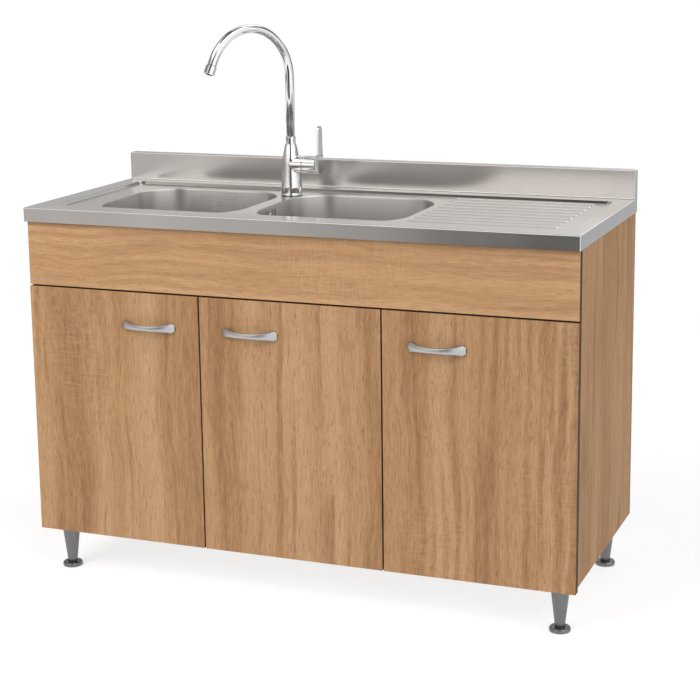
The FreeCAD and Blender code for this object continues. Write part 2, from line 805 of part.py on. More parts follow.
def tap_body():
    # Turned pillar with the side arm growing out of it, bored for the spout and the cartridge
    z = deck_height + tap_seal_height
    neck = tap_neck_height - tap_seal_height
    profile = [
        (0, 0), (tap_base_radius, 0), (tap_base_radius, tap_base_height - tap_base_edge),
        (tap_foot_radius, tap_base_height), (tap_waist_radius, tap_waist_height),
        (tap_shoulder_radius, tap_shoulder_height), (tap_neck_radius, neck), (0, neck),
    ]
    pillar = turned(profile, tap_x, tap_y, z)
    axis_z = deck_height + tap_arm_height
    arm = rod(tap_x, tap_y, axis_z, tap_arm_radius, tap_arm_reach, X_AXIS)
    body = pillar.fuse(arm)
    socket_floor = deck_height + tap_neck_height - spout_socket_depth
    body = body.cut(rod(tap_x, tap_y, socket_floor, spout_radius + fit_clearance, spout_socket_depth))
    waterway = spout_radius - spout_wall
    body = body.cut(rod(tap_x, tap_y, axis_z, waterway, socket_floor - axis_z))
    body = body.cut(rod(tap_x + tap_arm_reach / 2, tap_y, axis_z, cartridge_bore, tap_arm_reach / 2,
                        X_AXIS))
    return body.cut(rod(tap_x, tap_y, z, shank_spigot_radius, tap_base_height))


def tap_seal():
    return tube(tap_x, tap_y, deck_height, tap_base_radius - sheet, shank_hole_radius, tap_seal_height)


def tap_shank():
    # Threaded shank through the deck with the two inlets in its foot
    top = deck_height + tap_seal_height
    low = top - shank_length
    shank = rod(tap_x, tap_y, low, shank_radius, shank_length)
    shank = shank.fuse(rod(tap_x, tap_y, top, shank_spigot_radius - fit_clearance,
                           shank_spigot_height))
    for side in (-0.5, 0.5):
        x = tap_x + side * inlet_spacing
        shank = shank.cut(rod(x, tap_y, low, inlet_radius, inlet_depth))
    return shank


def tap_washer():
    # Horseshoe plate under the deck
    top = deck_height - sheet
    plate = tube(tap_x, tap_y, top - washer_height, washer_radius, shank_radius + washer_gap,
                 washer_height)
    gap = block(tap_x - washer_slot / 2, tap_x + washer_slot / 2, tap_y - washer_radius, tap_y,
                top - washer_height, top)
    return plate.cut(gap)


def tap_nut():
    top = deck_height - sheet - washer_height
    nut = hexagon(tap_x, tap_y, top - shank_nut_height, shank_nut_radius, shank_nut_height)
    return nut.cut(rod(tap_x, tap_y, top - shank_nut_height, shank_radius + fit_clearance,
                       shank_nut_height))


def cartridge_sleeve():
    # Chrome sleeve that clamps the mixing cartridge in the arm
    axis_z = deck_height + tap_arm_height
    x0 = tap_x + tap_arm_reach
    x1 = tap_x + sleeve_reach
    ring = rod(x0 + groove_width, tap_y, axis_z, tap_arm_radius, x1 - x0 - groove_width, X_AXIS)
    inner = rod(tap_x + tap_arm_reach / 2 + groove_width, tap_y, axis_z,
                cartridge_bore - fit_clearance, x0 - tap_x - tap_arm_reach / 2, X_AXIS)
    ring = ring.fuse(inner)
    bore = stem_radius + fit_clearance
    return ring.cut(rod(tap_x + tap_arm_reach / 2, tap_y, axis_z, bore, sleeve_reach, X_AXIS))


def lever_hub():
    # A plate round at the bottom and square at the top, the stem behind it and ears for the lever's pin
    axis_z = deck_height + tap_arm_height
    x0 = tap_x + sleeve_reach + hub_gap
    x1 = tap_x + hub_reach
    half = hub_width / 2
    seat = lever_pin_z() - lever_knuckle_radius
    ear_top = lever_pin_z() + lever_knuckle_radius
    disc = rod(x0, tap_y, axis_z, tap_arm_radius, x1 - x0, X_AXIS)
    low = disc.common(block(x0, x1, tap_y - half, tap_y + half, axis_z - tap_arm_radius, axis_z))
    high = block(x0, x1, tap_y - half, tap_y + half, axis_z, seat)
    ears = block(x1 - lever_thickness, x1, tap_y - half, tap_y + half, seat, ear_top)
    foot = lever_foot_width / 2 + lever_ear_gap
    ears = ears.cut(block(x1 - lever_thickness, x1, tap_y - foot, tap_y + foot, seat, ear_top))
    stem_start = tap_x + tap_arm_reach
    stem = rod(stem_start, tap_y, axis_z, stem_radius, x0 - stem_start, X_AXIS)
    hub = low.fuse(high).fuse(ears).fuse(stem)
    hub = hub.cut(rod(lever_pin_x(), tap_y - foot, lever_pin_z(), lever_knuckle_radius + lever_gap,
                      2 * foot, Y_AXIS))
    reach = lever_foot_width / 2 + lever_ear_gap + lever_pin_bite
    return hub.cut(rod(lever_pin_x(), tap_y - reach, lever_pin_z(), lever_pin_radius + fit_clearance,
                       2 * reach, Y_AXIS))


def lever_pin_x():
    return tap_x + hub_reach - lever_thickness / 2


def lever_pin_z():
    return deck_height + tap_arm_height + tap_arm_radius + lever_knuckle_radius


def mixer_lever():
    # Flat paddle, rounded at the top, on a cross pin at its round foot
    x0 = tap_x + hub_reach - lever_thickness
    foot = lever_foot_width / 2
    tip = lever_tip_width / 2
    top = deck_height + lever_top
    pivot = lever_pin_z()
    crown = top - tip
    edges = [
        Part.LineSegment(V(x0, tap_y - foot, pivot), V(x0, tap_y + foot, pivot)),
        Part.LineSegment(V(x0, tap_y + foot, pivot), V(x0, tap_y + tip, crown)),
        Part.Arc(V(x0, tap_y + tip, crown), V(x0, tap_y, top), V(x0, tap_y - tip, crown)),
        Part.LineSegment(V(x0, tap_y - tip, crown), V(x0, tap_y - foot, pivot)),
    ]
    face = Part.Face(Part.Wire([edge.toShape() for edge in edges]))
    paddle = face.extrude(V(lever_thickness, 0, 0))
    knuckle = rod(lever_pin_x(), tap_y - foot, pivot, lever_knuckle_radius, 2 * foot, Y_AXIS)
    reach = foot + lever_ear_gap + lever_pin_bite - lever_gap
    pin = rod(lever_pin_x(), tap_y - reach, pivot, lever_pin_radius, 2 * reach, Y_AXIS)
    return paddle.fuse(knuckle).fuse(pin)


def spout_way():
    turn = math.radians(spout_turn)
    return V(-math.sin(turn), -math.cos(turn), 0)


def spout_path():
    # Up the riser, over the arch and down the tail, all in the plane of the spout's heading
    ahead = spout_way()
    foot = V(tap_x, tap_y, deck_height + tap_neck_height - spout_socket_depth)
    top = V(tap_x, tap_y, deck_height + riser_top)
    centre = top + ahead * arch_radius

    def on_arch(degrees):
        angle = math.radians(degrees)
        return centre - ahead * arch_radius * math.cos(angle) + Z_AXIS * arch_radius * math.sin(angle)

    end = on_arch(arch_sweep)
    sweep = math.radians(arch_sweep)
    down = ahead * math.sin(sweep) + Z_AXIS * math.cos(sweep)
    return foot, top, on_arch(arch_sweep / 2), end, down


def spout_bar(radius):
    foot, top, middle, end, down = spout_path()
    edges = [
        Part.LineSegment(foot, top).toShape(),
        Part.Arc(top, middle, end).toShape(),
        Part.LineSegment(end, end + down * arch_tail).toShape(),
    ]
    section = Part.Wire([Part.makeCircle(radius, foot, Z_AXIS)])
    return Part.Wire(edges).makePipeShell([section], True, True)


def spout():
    return spout_bar(spout_radius).cut(spout_bar(spout_radius - spout_wall))


def spout_collar():
    base = deck_height + tap_neck_height
    collar = tube(tap_x, tap_y, base, collar_radius, spout_radius + fit_clearance, collar_height)
    return collar.makeChamfer(collar_edge, [collar.Edges[0]])


def aerator():
    foot, top, middle, end, down = spout_path()
    start = end + down * (arch_tail - aerator_lap)
    body = Part.makeCylinder(aerator_radius, aerator_length, start, down)
    seat = Part.makeCylinder(spout_radius + fit_clearance, aerator_lap, start, down)
    bore = Part.makeCylinder(aerator_bore, aerator_length, start, down)
    return body.cut(seat).cut(bore)


# Cabinet

def pin_spots():
    # Shelf pins: the face they stand on, the way they point and their place along Y
    front = cabinet_front_y + shelf_front_setback + pin_inset
    back = cabinet_back_y - rail_board - shelf_back_gap - pin_inset
    spots = []
    for y in (front, back):
        spots.append((divider_x1, X_AXIS, y))
        spots.append((cabinet_inner, X_AXIS * -1, y))
    return spots


def pin_z():
    return shelf_height - pin_radius


def pin_holes():
    holes = []
    for x, way, y in pin_spots():
        start = V(x, y, pin_z()) - way * pin_bore_depth
        holes.append(Part.makeCylinder(pin_radius + fit_clearance, pin_bore_depth, start, way))
    return group(holes)


def shelf_pins():
    pins = []
    for x, way, y in pin_spots():
        start = V(x, y, pin_z()) - way * pin_bore_depth
        pins.append(Part.makeCylinder(pin_radius, pin_bore_depth + pin_reach, start, way))
    return group(pins)


def side_panel(way):
    panel = span_block(way * cabinet_inner, way * cabinet_half, cabinet_front_y, cabinet_back_y,
                       cabinet_bottom, sheet_under)
    return panel.cut(pin_holes()).cut(plate_screw_holes())


def divider_panel():
    panel = block(divider_x0, divider_x1, cabinet_front_y, cabinet_back_y - rail_board,
                  floor_board_top, fascia_bottom)
    return panel.cut(pin_holes()).cut(plate_screw_holes())


def bottom_panel():
    panel = block(-cabinet_inner, cabinet_inner, cabinet_front_y, cabinet_back_y,
                  cabinet_bottom, floor_board_top)
    return panel.cut(leg_screw_holes())


def front_rail():
    return block(-cabinet_inner, cabinet_inner, cabinet_front_y, cabinet_front_y + rail_board,
                 fascia_bottom, sheet_under)


def back_rails():
    # One board under the splashback and one on the floor board, the back is open between them
    spans = [
        (sheet_under - back_rail_top_height, sheet_under),
        (floor_board_top, floor_board_top + back_rail_bottom_height),
    ]
    y0 = cabinet_back_y - rail_board
    return group([block(-cabinet_inner, cabinet_inner, y0, cabinet_back_y, z0, z1) for z0, z1 in spans])


def shelf():
    return block(divider_x1 + board_clearance, cabinet_inner - board_clearance,
                 cabinet_front_y + shelf_front_setback, cabinet_back_y - rail_board - shelf_back_gap,
                 shelf_height, shelf_height + board)


def fascia():
    return block(-cabinet_half, cabinet_half, door_front_y + door_gap, cabinet_front_y,
                 fascia_bottom, sheet_under)


def door(name):
    x0 = door_x0[name]
    panel = block(x0, x0 + door_width, door_front_y, door_back_y, door_bottom, door_top)
    for z in hinge_heights:
        x = cup_x(name)
        bore = rod(x, door_back_y - cup_depth, z, cup_radius + fit_clearance, cup_depth, Y_AXIS)
        panel = panel.cut(bore)
    for x in handle_screw_xs(name):
        panel = panel.cut(rod(x, door_front_y, handle_z(), handle_screw_radius + fit_clearance,
                              door_board, Y_AXIS))
    return panel


# Hinges

def cup_x(name):
    return hinge_edge[name] + hinge_way[name] * cup_edge


def hinge_cup(name, z):
    x = cup_x(name)
    rise = cup_flange_height
    start = door_back_y - cup_depth
    cup = rod(x, start, z, cup_radius, cup_depth, Y_AXIS)
    flange = rod(x, door_back_y, z, cup_flange_radius, rise, Y_AXIS)
    wings = block(x - cup_wing_width / 2, x + cup_wing_width / 2, door_back_y, door_back_y + rise,
                  z - cup_wing_reach, z + cup_wing_reach)
    hollow = rod(x, start + cup_wall, z, cup_radius - cup_wall, cup_depth + rise, Y_AXIS)
    return cup.fuse(flange).fuse(wings).cut(hollow)


def hinge_cups(name):
    return group([hinge_cup(name, z) for z in hinge_heights])


def plate_sites():
    # Each mounting plate: the board face it lies on, the way it stands off, and its height
    sites = []
    for name in door_names:
        for z in hinge_heights:
            sites.append((name, hinge_board_face[name], hinge_way[name], z))
    return sites


def plate_y():
    return cabinet_front_y + plate_setback


def hinge_plate(face, way, z):
    plate = span_block(face, face + way * plate_thickness, plate_y() - plate_width / 2,
                       plate_y() + plate_width / 2, z - plate_height / 2, z + plate_height / 2)
    for offset in (-0.5, 0.5):
        start = V(face, plate_y(), z + offset * plate_screw_spacing)
        plate = plate.cut(Part.makeCylinder(plate_screw_radius + fit_clearance, plate_thickness, start,
                                            X_AXIS * way))
    return plate


def hinge_plates():
    return group([hinge_plate(face, way, z) for name, face, way, z in plate_sites()])


def plate_screw_spots():
    spots = []
    for name, face, way, z in plate_sites():
        for offset in (-0.5, 0.5):
            spots.append((face, way, z + offset * plate_screw_spacing))
    return spots


def plate_screw_holes():
    holes = []
    for face, way, z in plate_screw_spots():
        start = V(face, plate_y(), z)
        holes.append(Part.makeCylinder(plate_screw_radius + fit_clearance, plate_screw_length, start,
                                       X_AXIS * -way))
    return group(holes)


def plate_screws():
    screws = []
    for face, way, z in plate_screw_spots():
        seat = V(face + way * plate_thickness, plate_y(), z)
        head = Part.makeCylinder(screw_head_radius, screw_head_height, seat, X_AXIS * way)
        shank = Part.makeCylinder(plate_screw_radius, plate_thickness + plate_screw_length, seat,
                                  X_AXIS * -way)
        screws.append(head.fuse(shank))
    return group(screws)


def hinge_arm(name, face, way, z):
    # Arm on its plate, a cranked neck, and the nose that dips into the cup of the closed door
    base = face + way * plate_thickness
    edge = hinge_edge[name]
    front = cabinet_front_y + arm_front
    half = arm_width / 2
    body = span_block(base, base + way * arm_depth, front, cabinet_front_y + arm_back,
                      z - half, z + half)
    neck = span_block(base, edge + way * nose_far, front, front + arm_neck, z - half, z + half)
    nose = span_block(edge + way * nose_near, edge + way * nose_far, door_back_y - nose_dip,
                      front + arm_neck, z - nose_width / 2, z + nose_width / 2)
    return body.fuse(neck).fuse(nose).removeSplitter()


def hinge_arms():
    return group([hinge_arm(name, face, way, z) for name, face, way, z in plate_sites()])


def door_buffers():
    # Round pads on the floor board's front edge, at each door's opening side
    pads = []
    for name in door_names:
        opening = hinge_edge[name] + hinge_way[name] * (door_width - buffer_inset)
        pads.append(rod(opening, door_back_y, cabinet_bottom + board / 2, buffer_radius, door_gap, Y_AXIS))
    return group(pads)


# Handles

def handle_x(name):
    return hinge_edge[name] + hinge_way[name] * (door_width - handle_edge)


def handle_z():
    return door_top - handle_drop


def handle_screw_xs(name):
    return [handle_x(name) - handle_spacing / 2, handle_x(name) + handle_spacing / 2]


def handle(name):
    # The bow seen from above, then trimmed to its outline seen from the front
    x = handle_x(name)
    y = door_front_y
    z = handle_z()
    half = handle_length / 2
    foot = half - handle_foot
    inner_reach = handle_reach - handle_thickness
    low = z - handle_end_height / 2
    edges = [
        Part.Arc(V(x - half, y, low), V(x, y - handle_reach, low), V(x + half, y, low)),
        Part.LineSegment(V(x + half, y, low), V(x + foot, y, low)),
        Part.Arc(V(x + foot, y, low), V(x, y - inner_reach, low), V(x - foot, y, low)),
        Part.LineSegment(V(x - foot, y, low), V(x - half, y, low)),
    ]
    bow = Part.Face(Part.Wire([edge.toShape() for edge in edges])).extrude(V(0, 0, handle_end_height))
    bow = bow.common(handle_front(x, y, z, half))
    for screw_x in handle_screw_xs(name):
        bow = bow.cut(rod(screw_x, y, z, handle_screw_radius, handle_screw_bite, Y_AXIS * -1))
    return bow


def handle_front(x, y, z, half):
    # Waisted outline: tall round ends, slim middle
    end = handle_end_height / 2
    middle = handle_middle_height / 2
    shoulder = half - end
    edges = [
        Part.Arc(V(x - shoulder, y, z + end), V(x, y, z + middle), V(x + shoulder, y, z + end)),
        Part.Arc(V(x + shoulder, y, z + end), V(x + half, y, z), V(x + shoulder, y, z - end)),
        Part.Arc(V(x + shoulder, y, z - end), V(x, y, z - middle), V(x - shoulder, y, z - end)),
        Part.Arc(V(x - shoulder, y, z - end), V(x - half, y, z), V(x - shoulder, y, z + end)),
    ]
    face = Part.Face(Part.Wire([edge.toShape() for edge in edges]))
    return face.extrude(V(0, -2 * handle_reach, 0))


def handle_screws(name):
    screws = []
    for x in handle_screw_xs(name):
        head = rod(x, door_back_y, handle_z(), handle_head_radius, handle_head_height, Y_AXIS)
        length = door_board + handle_screw_bite
        shank = rod(x, door_back_y, handle_z(), handle_screw_radius, length, Y_AXIS * -1)
        screws.append(head.fuse(shank))
    return group(screws)


# Legs

leg_places = {
    "front_left": (-half_width + leg_inset_x, front_y + leg_inset_front),
    "front_right": (half_width - leg_inset_x, front_y + leg_inset_front),
    "back_left": (-half_width + leg_inset_x, back_y - leg_inset_back),
    "back_right": (half_width - leg_inset_x, back_y - leg_inset_back),
}
leg_top = cabinet_bottom - leg_plate_height


def leg(x, y):
    cone = Part.makeCone(leg_bottom_radius, leg_top_radius, leg_top - foot_height,
                         V(x, y, foot_height), Z_AXIS)
    return cone.cut(rod(x, y, foot_height, foot_stud_radius + fit_clearance, foot_stud_length))


def leg_foot(x, y):
    # Disc foot with rounded edges and a stud up into the leg
    disc = rod(x, y, 0, foot_radius, foot_height)
    disc = disc.makeFillet(foot_edge, disc.Edges)
    return disc.fuse(rod(x, y, foot_height, foot_stud_radius, foot_stud_length))


def leg_screw_places():
    places = []
    for x, y in leg_places.values():
        inward = -1 if x > 0 else 1
        for degrees in leg_screw_angles:
            angle = math.radians(degrees)
            places.append((x + inward * leg_screw_circle * math.cos(angle),
                           y + leg_screw_circle * math.sin(angle)))
    return places


def leg_plates():
    plates = []
    for x, y in leg_places.values():
        plate = rod(x, y, leg_top, leg_plate_radius, leg_plate_height)
        for sx, sy in leg_screw_places():
            plate = plate.cut(rod(sx, sy, leg_top, leg_screw_radius + fit_clearance, leg_plate_height))
        plates.append(plate)
    return group(plates)


def leg_screw_holes():
    radius = leg_screw_radius + fit_clearance
    return group([rod(x, y, cabinet_bottom, radius, leg_screw_length) for x, y in leg_screw_places()])


def leg_screws():
    screws = []
    for x, y in leg_screw_places():
        head = rod(x, y, leg_top - leg_screw_head_height, leg_screw_head, leg_screw_head_height)
        shank = rod(x, y, leg_top, leg_screw_radius, leg_plate_height + leg_screw_length)
        screws.append(head.fuse(shank))
    return group(screws)


# Every piece in turn

save("sink_top", sink_top())
for side in bowl_lefts:
    save("bowl_" + side, bowl(side))
    save("basket_" + side, basket(side))
save("waste_flanges", group([waste_flange(side) for side in bowl_lefts]))
save("waste_bodies", group([waste_body(side) for side in bowl_lefts]))
save("waste_seals", group([waste_seal(side) for side in bowl_lefts]))
save("overflow_housing", overflow_housing())
save("overflow_pipe", overflow_pipe())
save("overflow_screw", overflow_screw())
save("cross_pipe", cross_pipe())
save("drain_tee", drain_tee())
save("trap_body", trap_body())
save("trap_cup", trap_cup())
save("outlet_pipe", outlet_pipe())
save("union_nuts", union_nuts())

save("tap_body", tap_body())
save("tap_seal", tap_seal())
save("tap_shank", tap_shank())
save("tap_washer", tap_washer())
save("tap_nut", tap_nut())
save("cartridge_sleeve", cartridge_sleeve())
save("lever_hub", lever_hub())
save("mixer_lever", mixer_lever())
save("spout", spout())
save("spout_collar", spout_collar())
save("aerator", aerator())

save("side_panel_left", side_panel(-1))
save("side_panel_right", side_panel(1))
save("divider_panel", divider_panel())
save("bottom_panel", bottom_panel())
save("front_rail", front_rail())
save("back_rails", back_rails())
save("shelf", shelf())
save("shelf_pins", shelf_pins())
save("fascia", fascia())
save("door_buffers", door_buffers())
save("hinge_plates", hinge_plates())
save("hinge_plate_screws", plate_screws())
save("hinge_arms", hinge_arms())
for name in door_names:
    save("door_" + name, door(name))
    save("hinge_cups_" + name, hinge_cups(name))
    save("handle_" + name, handle(name))
    save("handle_screws_" + name, handle_screws(name))
for name, (x, y) in leg_places.items():
    save("leg_" + name, leg(x, y))
save("leg_feet", group([leg_foot(x, y) for x, y in leg_places.values()]))
save("leg_plates", leg_plates())
save("leg_screws", leg_screws())
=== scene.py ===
import json
import math

import bmesh
import bpy
from mathutils import Matrix, Vector

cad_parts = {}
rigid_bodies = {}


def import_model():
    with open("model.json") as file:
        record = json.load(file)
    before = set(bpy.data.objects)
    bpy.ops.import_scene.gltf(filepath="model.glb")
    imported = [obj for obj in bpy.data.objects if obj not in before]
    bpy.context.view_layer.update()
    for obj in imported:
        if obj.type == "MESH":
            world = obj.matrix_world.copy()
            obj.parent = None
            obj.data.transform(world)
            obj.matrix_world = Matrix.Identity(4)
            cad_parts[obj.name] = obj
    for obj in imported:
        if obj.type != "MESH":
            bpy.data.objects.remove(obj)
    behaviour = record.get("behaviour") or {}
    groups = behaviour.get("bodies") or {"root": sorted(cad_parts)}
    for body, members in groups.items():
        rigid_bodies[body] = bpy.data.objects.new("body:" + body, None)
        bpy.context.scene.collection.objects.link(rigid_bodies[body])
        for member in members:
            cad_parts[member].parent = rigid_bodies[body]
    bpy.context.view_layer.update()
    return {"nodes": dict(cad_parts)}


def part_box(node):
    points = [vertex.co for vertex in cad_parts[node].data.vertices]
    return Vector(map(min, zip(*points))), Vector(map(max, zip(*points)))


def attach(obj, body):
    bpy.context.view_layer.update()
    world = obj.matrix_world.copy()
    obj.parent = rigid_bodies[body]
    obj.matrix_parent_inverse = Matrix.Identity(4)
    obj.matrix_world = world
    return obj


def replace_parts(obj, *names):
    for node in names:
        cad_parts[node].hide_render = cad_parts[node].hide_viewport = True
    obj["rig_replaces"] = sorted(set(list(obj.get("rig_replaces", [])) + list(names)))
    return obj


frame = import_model()
nodes = frame["nodes"]


# small hand tools, used by every piece
def putDown():
    if bpy.context.object and bpy.context.object.mode != "OBJECT":
        bpy.ops.object.mode_set(mode="OBJECT")
    bpy.ops.object.select_all(action="DESELECT")


def pickUp(piece):
    putDown()
    bpy.context.view_layer.objects.active = piece
    piece.select_set(True)


def openMesh(piece, mode="FACE"):
    pickUp(piece)
    bpy.ops.object.mode_set(mode="EDIT")
    bpy.ops.mesh.select_mode(type=mode)
    bpy.ops.mesh.select_all(action="DESELECT")


def pickFaces(piece, wanted):
    bpy.ops.mesh.select_mode(type="FACE")
    shell = bmesh.from_edit_mesh(piece.data)
    for face in shell.faces:
        face.select_set(wanted(face))
    bmesh.update_edit_mesh(piece.data)


def pickEdges(piece, wanted):
    bpy.ops.mesh.select_mode(type="EDGE")
    bpy.ops.mesh.select_all(action="DESELECT")
    shell = bmesh.from_edit_mesh(piece.data)
    for edge in shell.edges:
        if wanted(edge):
            edge.select_set(True)
    bmesh.update_edit_mesh(piece.data)


def nameIt(name):
    piece = bpy.context.object
    piece.name = name
    piece.data.name = name
    bpy.ops.object.transform_apply(location=True, rotation=True, scale=True)
    return piece


def useModifier(piece, kind, **settings):
    pickUp(piece)
    made = piece.modifiers.new(kind.title(), kind)
    for key, value in settings.items():
        setattr(made, key, value)
    bpy.ops.object.modifier_apply(modifier=made.name)


def cutAway(piece, cutter, operation="DIFFERENCE"):
    useModifier(piece, "BOOLEAN", object=cutter, operation=operation, solver="EXACT")
    bpy.data.objects.remove(cutter)


def putTogether(name, pieces):
    pickUp(pieces[0])
    for piece in pieces:
        piece.select_set(True)
    bpy.ops.object.join()
    pieces[0].name = name
    pieces[0].data.name = name
    return pieces[0]


def copied(piece, name, shift):
    # a twin with its own mesh, moved along
    twin = piece.copy()
    twin.data = piece.data.copy()
    bpy.context.scene.collection.objects.link(twin)
    twin.name = name
    twin.data.name = name
    pickUp(twin)
    bpy.ops.transform.translate(value=shift)
    bpy.ops.object.transform_apply(location=True, rotation=True, scale=True)
    return twin


def faceOut(piece):
    openMesh(piece)
    bpy.ops.mesh.select_all(action="SELECT")
    bpy.ops.mesh.remove_doubles(threshold=0.00001)
    bpy.ops.mesh.normals_make_consistent(inside=False)
    putDown()


def softBox(name, low, high, edge, segments=2):
    middle = [(a + b) / 2 for a, b in zip(low, high)]
    spans = [b - a for a, b in zip(low, high)]
    putDown()
    bpy.ops.mesh.primitive_cube_add(size=1, location=middle, scale=spans)
    piece = nameIt(name)
    openMesh(piece)
    bpy.ops.mesh.select_all(action="SELECT")
    bpy.ops.mesh.bevel(offset=edge, segments=segments, affect="EDGES")
    putDown()
    return piece


def turned(name, centre, axis, rings, sides=48, closeStart=True, closeEnd=True):
    # a circle drawn out ring by ring; a ring is (distance along the axis, radius)
    centre, axis = Vector(centre), Vector(axis).normalized()
    putDown()
    first, radius = rings[0]
    bpy.ops.mesh.primitive_circle_add(vertices=sides, radius=radius,
                                      fill_type="NGON" if closeStart else "NOTHING",
                                      location=centre + axis * first,
                                      rotation=axis.to_track_quat("Z", "Y").to_euler())
    piece = nameIt(name)
    openMesh(piece, "EDGE")
    bpy.ops.mesh.select_all(action="SELECT")
    if closeStart:
        bpy.ops.mesh.select_mode(type="EDGE")
        bpy.ops.mesh.region_to_loop()
    for distance, width in rings[1:]:
        bpy.ops.mesh.extrude_edges_move(TRANSFORM_OT_translate={"value": axis * (distance - first)})
        ratio = width / radius
        bpy.ops.transform.resize(value=(ratio, ratio, ratio), center_override=centre + axis * distance)
        first, radius = distance, width
    if closeEnd:
        bpy.ops.mesh.edge_face_add()
    faceOut(piece)
    return piece


def roundedOutline(low, high, height, radius, segments, keepFace=True):
    # inside the open mesh: a flat plate with round corners, left selected
    bpy.ops.mesh.select_mode(type="FACE")
    bpy.ops.mesh.select_all(action="DESELECT")
    middle = ((low[0] + high[0]) / 2, (low[1] + high[1]) / 2, height)
    bpy.ops.mesh.primitive_plane_add(size=1, location=middle)
    bpy.ops.transform.resize(value=(high[0] - low[0], high[1] - low[1], 1), center_override=middle)
    bpy.ops.mesh.bevel(offset=radius, segments=segments, affect="VERTICES")
    bpy.ops.mesh.select_mode(type="FACE")
    if not keepFace:
        bpy.ops.mesh.delete(type="ONLY_FACE")


def pressIn(steps):
    # insets of the selected plate; a step is (inwards, upwards)
    for inwards, upwards in steps:
        bpy.ops.mesh.inset(thickness=inwards, depth=upwards)


def arcSteps(radius, start, end, count):
    # the (inwards, upwards) steps of an arc that goes down from one slope to another, in degrees
    steps = []
    for k in range(count):
        a = math.radians(start + (end - start) * k / count)
        b = math.radians(start + (end - start) * (k + 1) / count)
        steps.append((abs(radius * (math.sin(b) - math.sin(a))),
                      -abs(radius * (math.cos(b) - math.cos(a)))))
    return steps


def finishPiece(piece, look, body, stands, angle=35, weighted=True):
    pickUp(piece)
    bpy.ops.object.shade_smooth_by_angle(angle=math.radians(angle))
    if weighted:
        useModifier(piece, "WEIGHTED_NORMAL", keep_sharp=True, weight=90)
    piece.data.materials.clear()
    piece.data.materials.append(look)
    if stands:
        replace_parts(piece, *stands)
    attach(piece, body)
    return piece


def softened(name, node, edge, segments=2):
    # a merged copy of a CAD node with its edges broken
    piece = nodes[node].copy()
    piece.data = nodes[node].data.copy()
    piece.parent = None
    for key in list(piece.keys()):
        del piece[key]
    bpy.context.scene.collection.objects.link(piece)
    piece.name = name
    piece.data.name = name
    openMesh(piece)
    bpy.ops.mesh.select_all(action="SELECT")
    bpy.ops.mesh.remove_doubles(threshold=0.000005)
    bpy.ops.mesh.dissolve_limited(angle_limit=math.radians(1))
    putDown()
    useModifier(piece, "BEVEL", width=edge, segments=segments, limit_method="ANGLE",
                angle_limit=math.radians(40), use_clamp_overlap=True)
    return piece


# finishes
class Finish:
    def __init__(self, name):
        self.look = bpy.data.materials.new(name)
        self.look.use_nodes = True
        self.tree = self.look.node_tree
        self.shader = self.tree.nodes["Principled BSDF"]
        self.place = self.node("ShaderNodeTexCoord").outputs["Object"]

    def node(self, kind, **settings):
        made = self.tree.nodes.new(kind)
        for key, value in settings.items():
            setattr(made, key, value)
        return made

    def join(self, start, end):
        self.tree.links.new(start, end)

    def mapped(self, scale, turn=(0, 0, 0), shift=(0, 0, 0)):
        made = self.node("ShaderNodeMapping")
        made.inputs["Scale"].default_value = scale
        made.inputs["Rotation"].default_value = [math.radians(a) for a in turn]
        made.inputs["Location"].default_value = shift
        self.join(self.place, made.inputs["Vector"])
        return made.outputs["Vector"]

    def noise(self, vector, scale=1.0, detail=3.0, roughness=0.5, distortion=0.0):
        made = self.node("ShaderNodeTexNoise")
        made.inputs["Scale"].default_value = scale
        made.inputs["Detail"].default_value = detail
        made.inputs["Roughness"].default_value = roughness
        made.inputs["Distortion"].default_value = distortion
        self.join(vector, made.inputs["Vector"])
        return made.outputs["Fac"]

    def ramp(self, value, stops):
        made = self.node("ShaderNodeValToRGB")
        while len(made.color_ramp.elements) < len(stops):
            made.color_ramp.elements.new(0.5)
        for element, (position, colour) in zip(made.color_ramp.elements, stops):
            element.position = position
            element.color = (*colour, 1) if not isinstance(colour, float) else (colour, colour, colour, 1)
        self.join(value, made.inputs["Fac"])
        return made.outputs["Color"]

    def spread(self, value, low, high, fromLow=0.3, fromHigh=0.7):
        made = self.node("ShaderNodeMapRange")
        made.inputs["From Min"].default_value = fromLow
        made.inputs["From Max"].default_value = fromHigh
        made.inputs["To Min"].default_value = low
        made.inputs["To Max"].default_value = high
        self.join(value, made.inputs["Value"])
        return made.outputs["Result"]

    def mix(self, amount, first, second, blend="MIX"):
        made = self.node("ShaderNodeMix", data_type="RGBA", blend_type=blend)
        for value, place in ((amount, 0), (first, 6), (second, 7)):
            if isinstance(value, bpy.types.NodeSocket):
                self.join(value, made.inputs[place])
            else:
                made.inputs[place].default_value = value
        return made.outputs[2]

    def reckon(self, operation, first, second):
        made = self.node("ShaderNodeMath", operation=operation)
        for value, place in ((first, 0), (second, 1)):
            if isinstance(value, bpy.types.NodeSocket):
                self.join(value, made.inputs[place])
            else:
                made.inputs[place].default_value = value
        return made.outputs["Value"]

    def bump(self, height, strength, distance):
        made = self.node("ShaderNodeBump")
        made.inputs["Strength"].default_value = strength
        made.inputs["Distance"].default_value = distance
        self.join(height, made.inputs["Height"])
        self.join(made.outputs["Normal"], self.shader.inputs["Normal"])


steel = {"dark": (0.570, 0.552, 0.536), "light": (0.630, 0.616, 0.604), "smooth": 0.17, "rough": 0.21,
         "hair": (3, 520, 520), "hairShare": 0.8, "bowlBlur": 0.10}


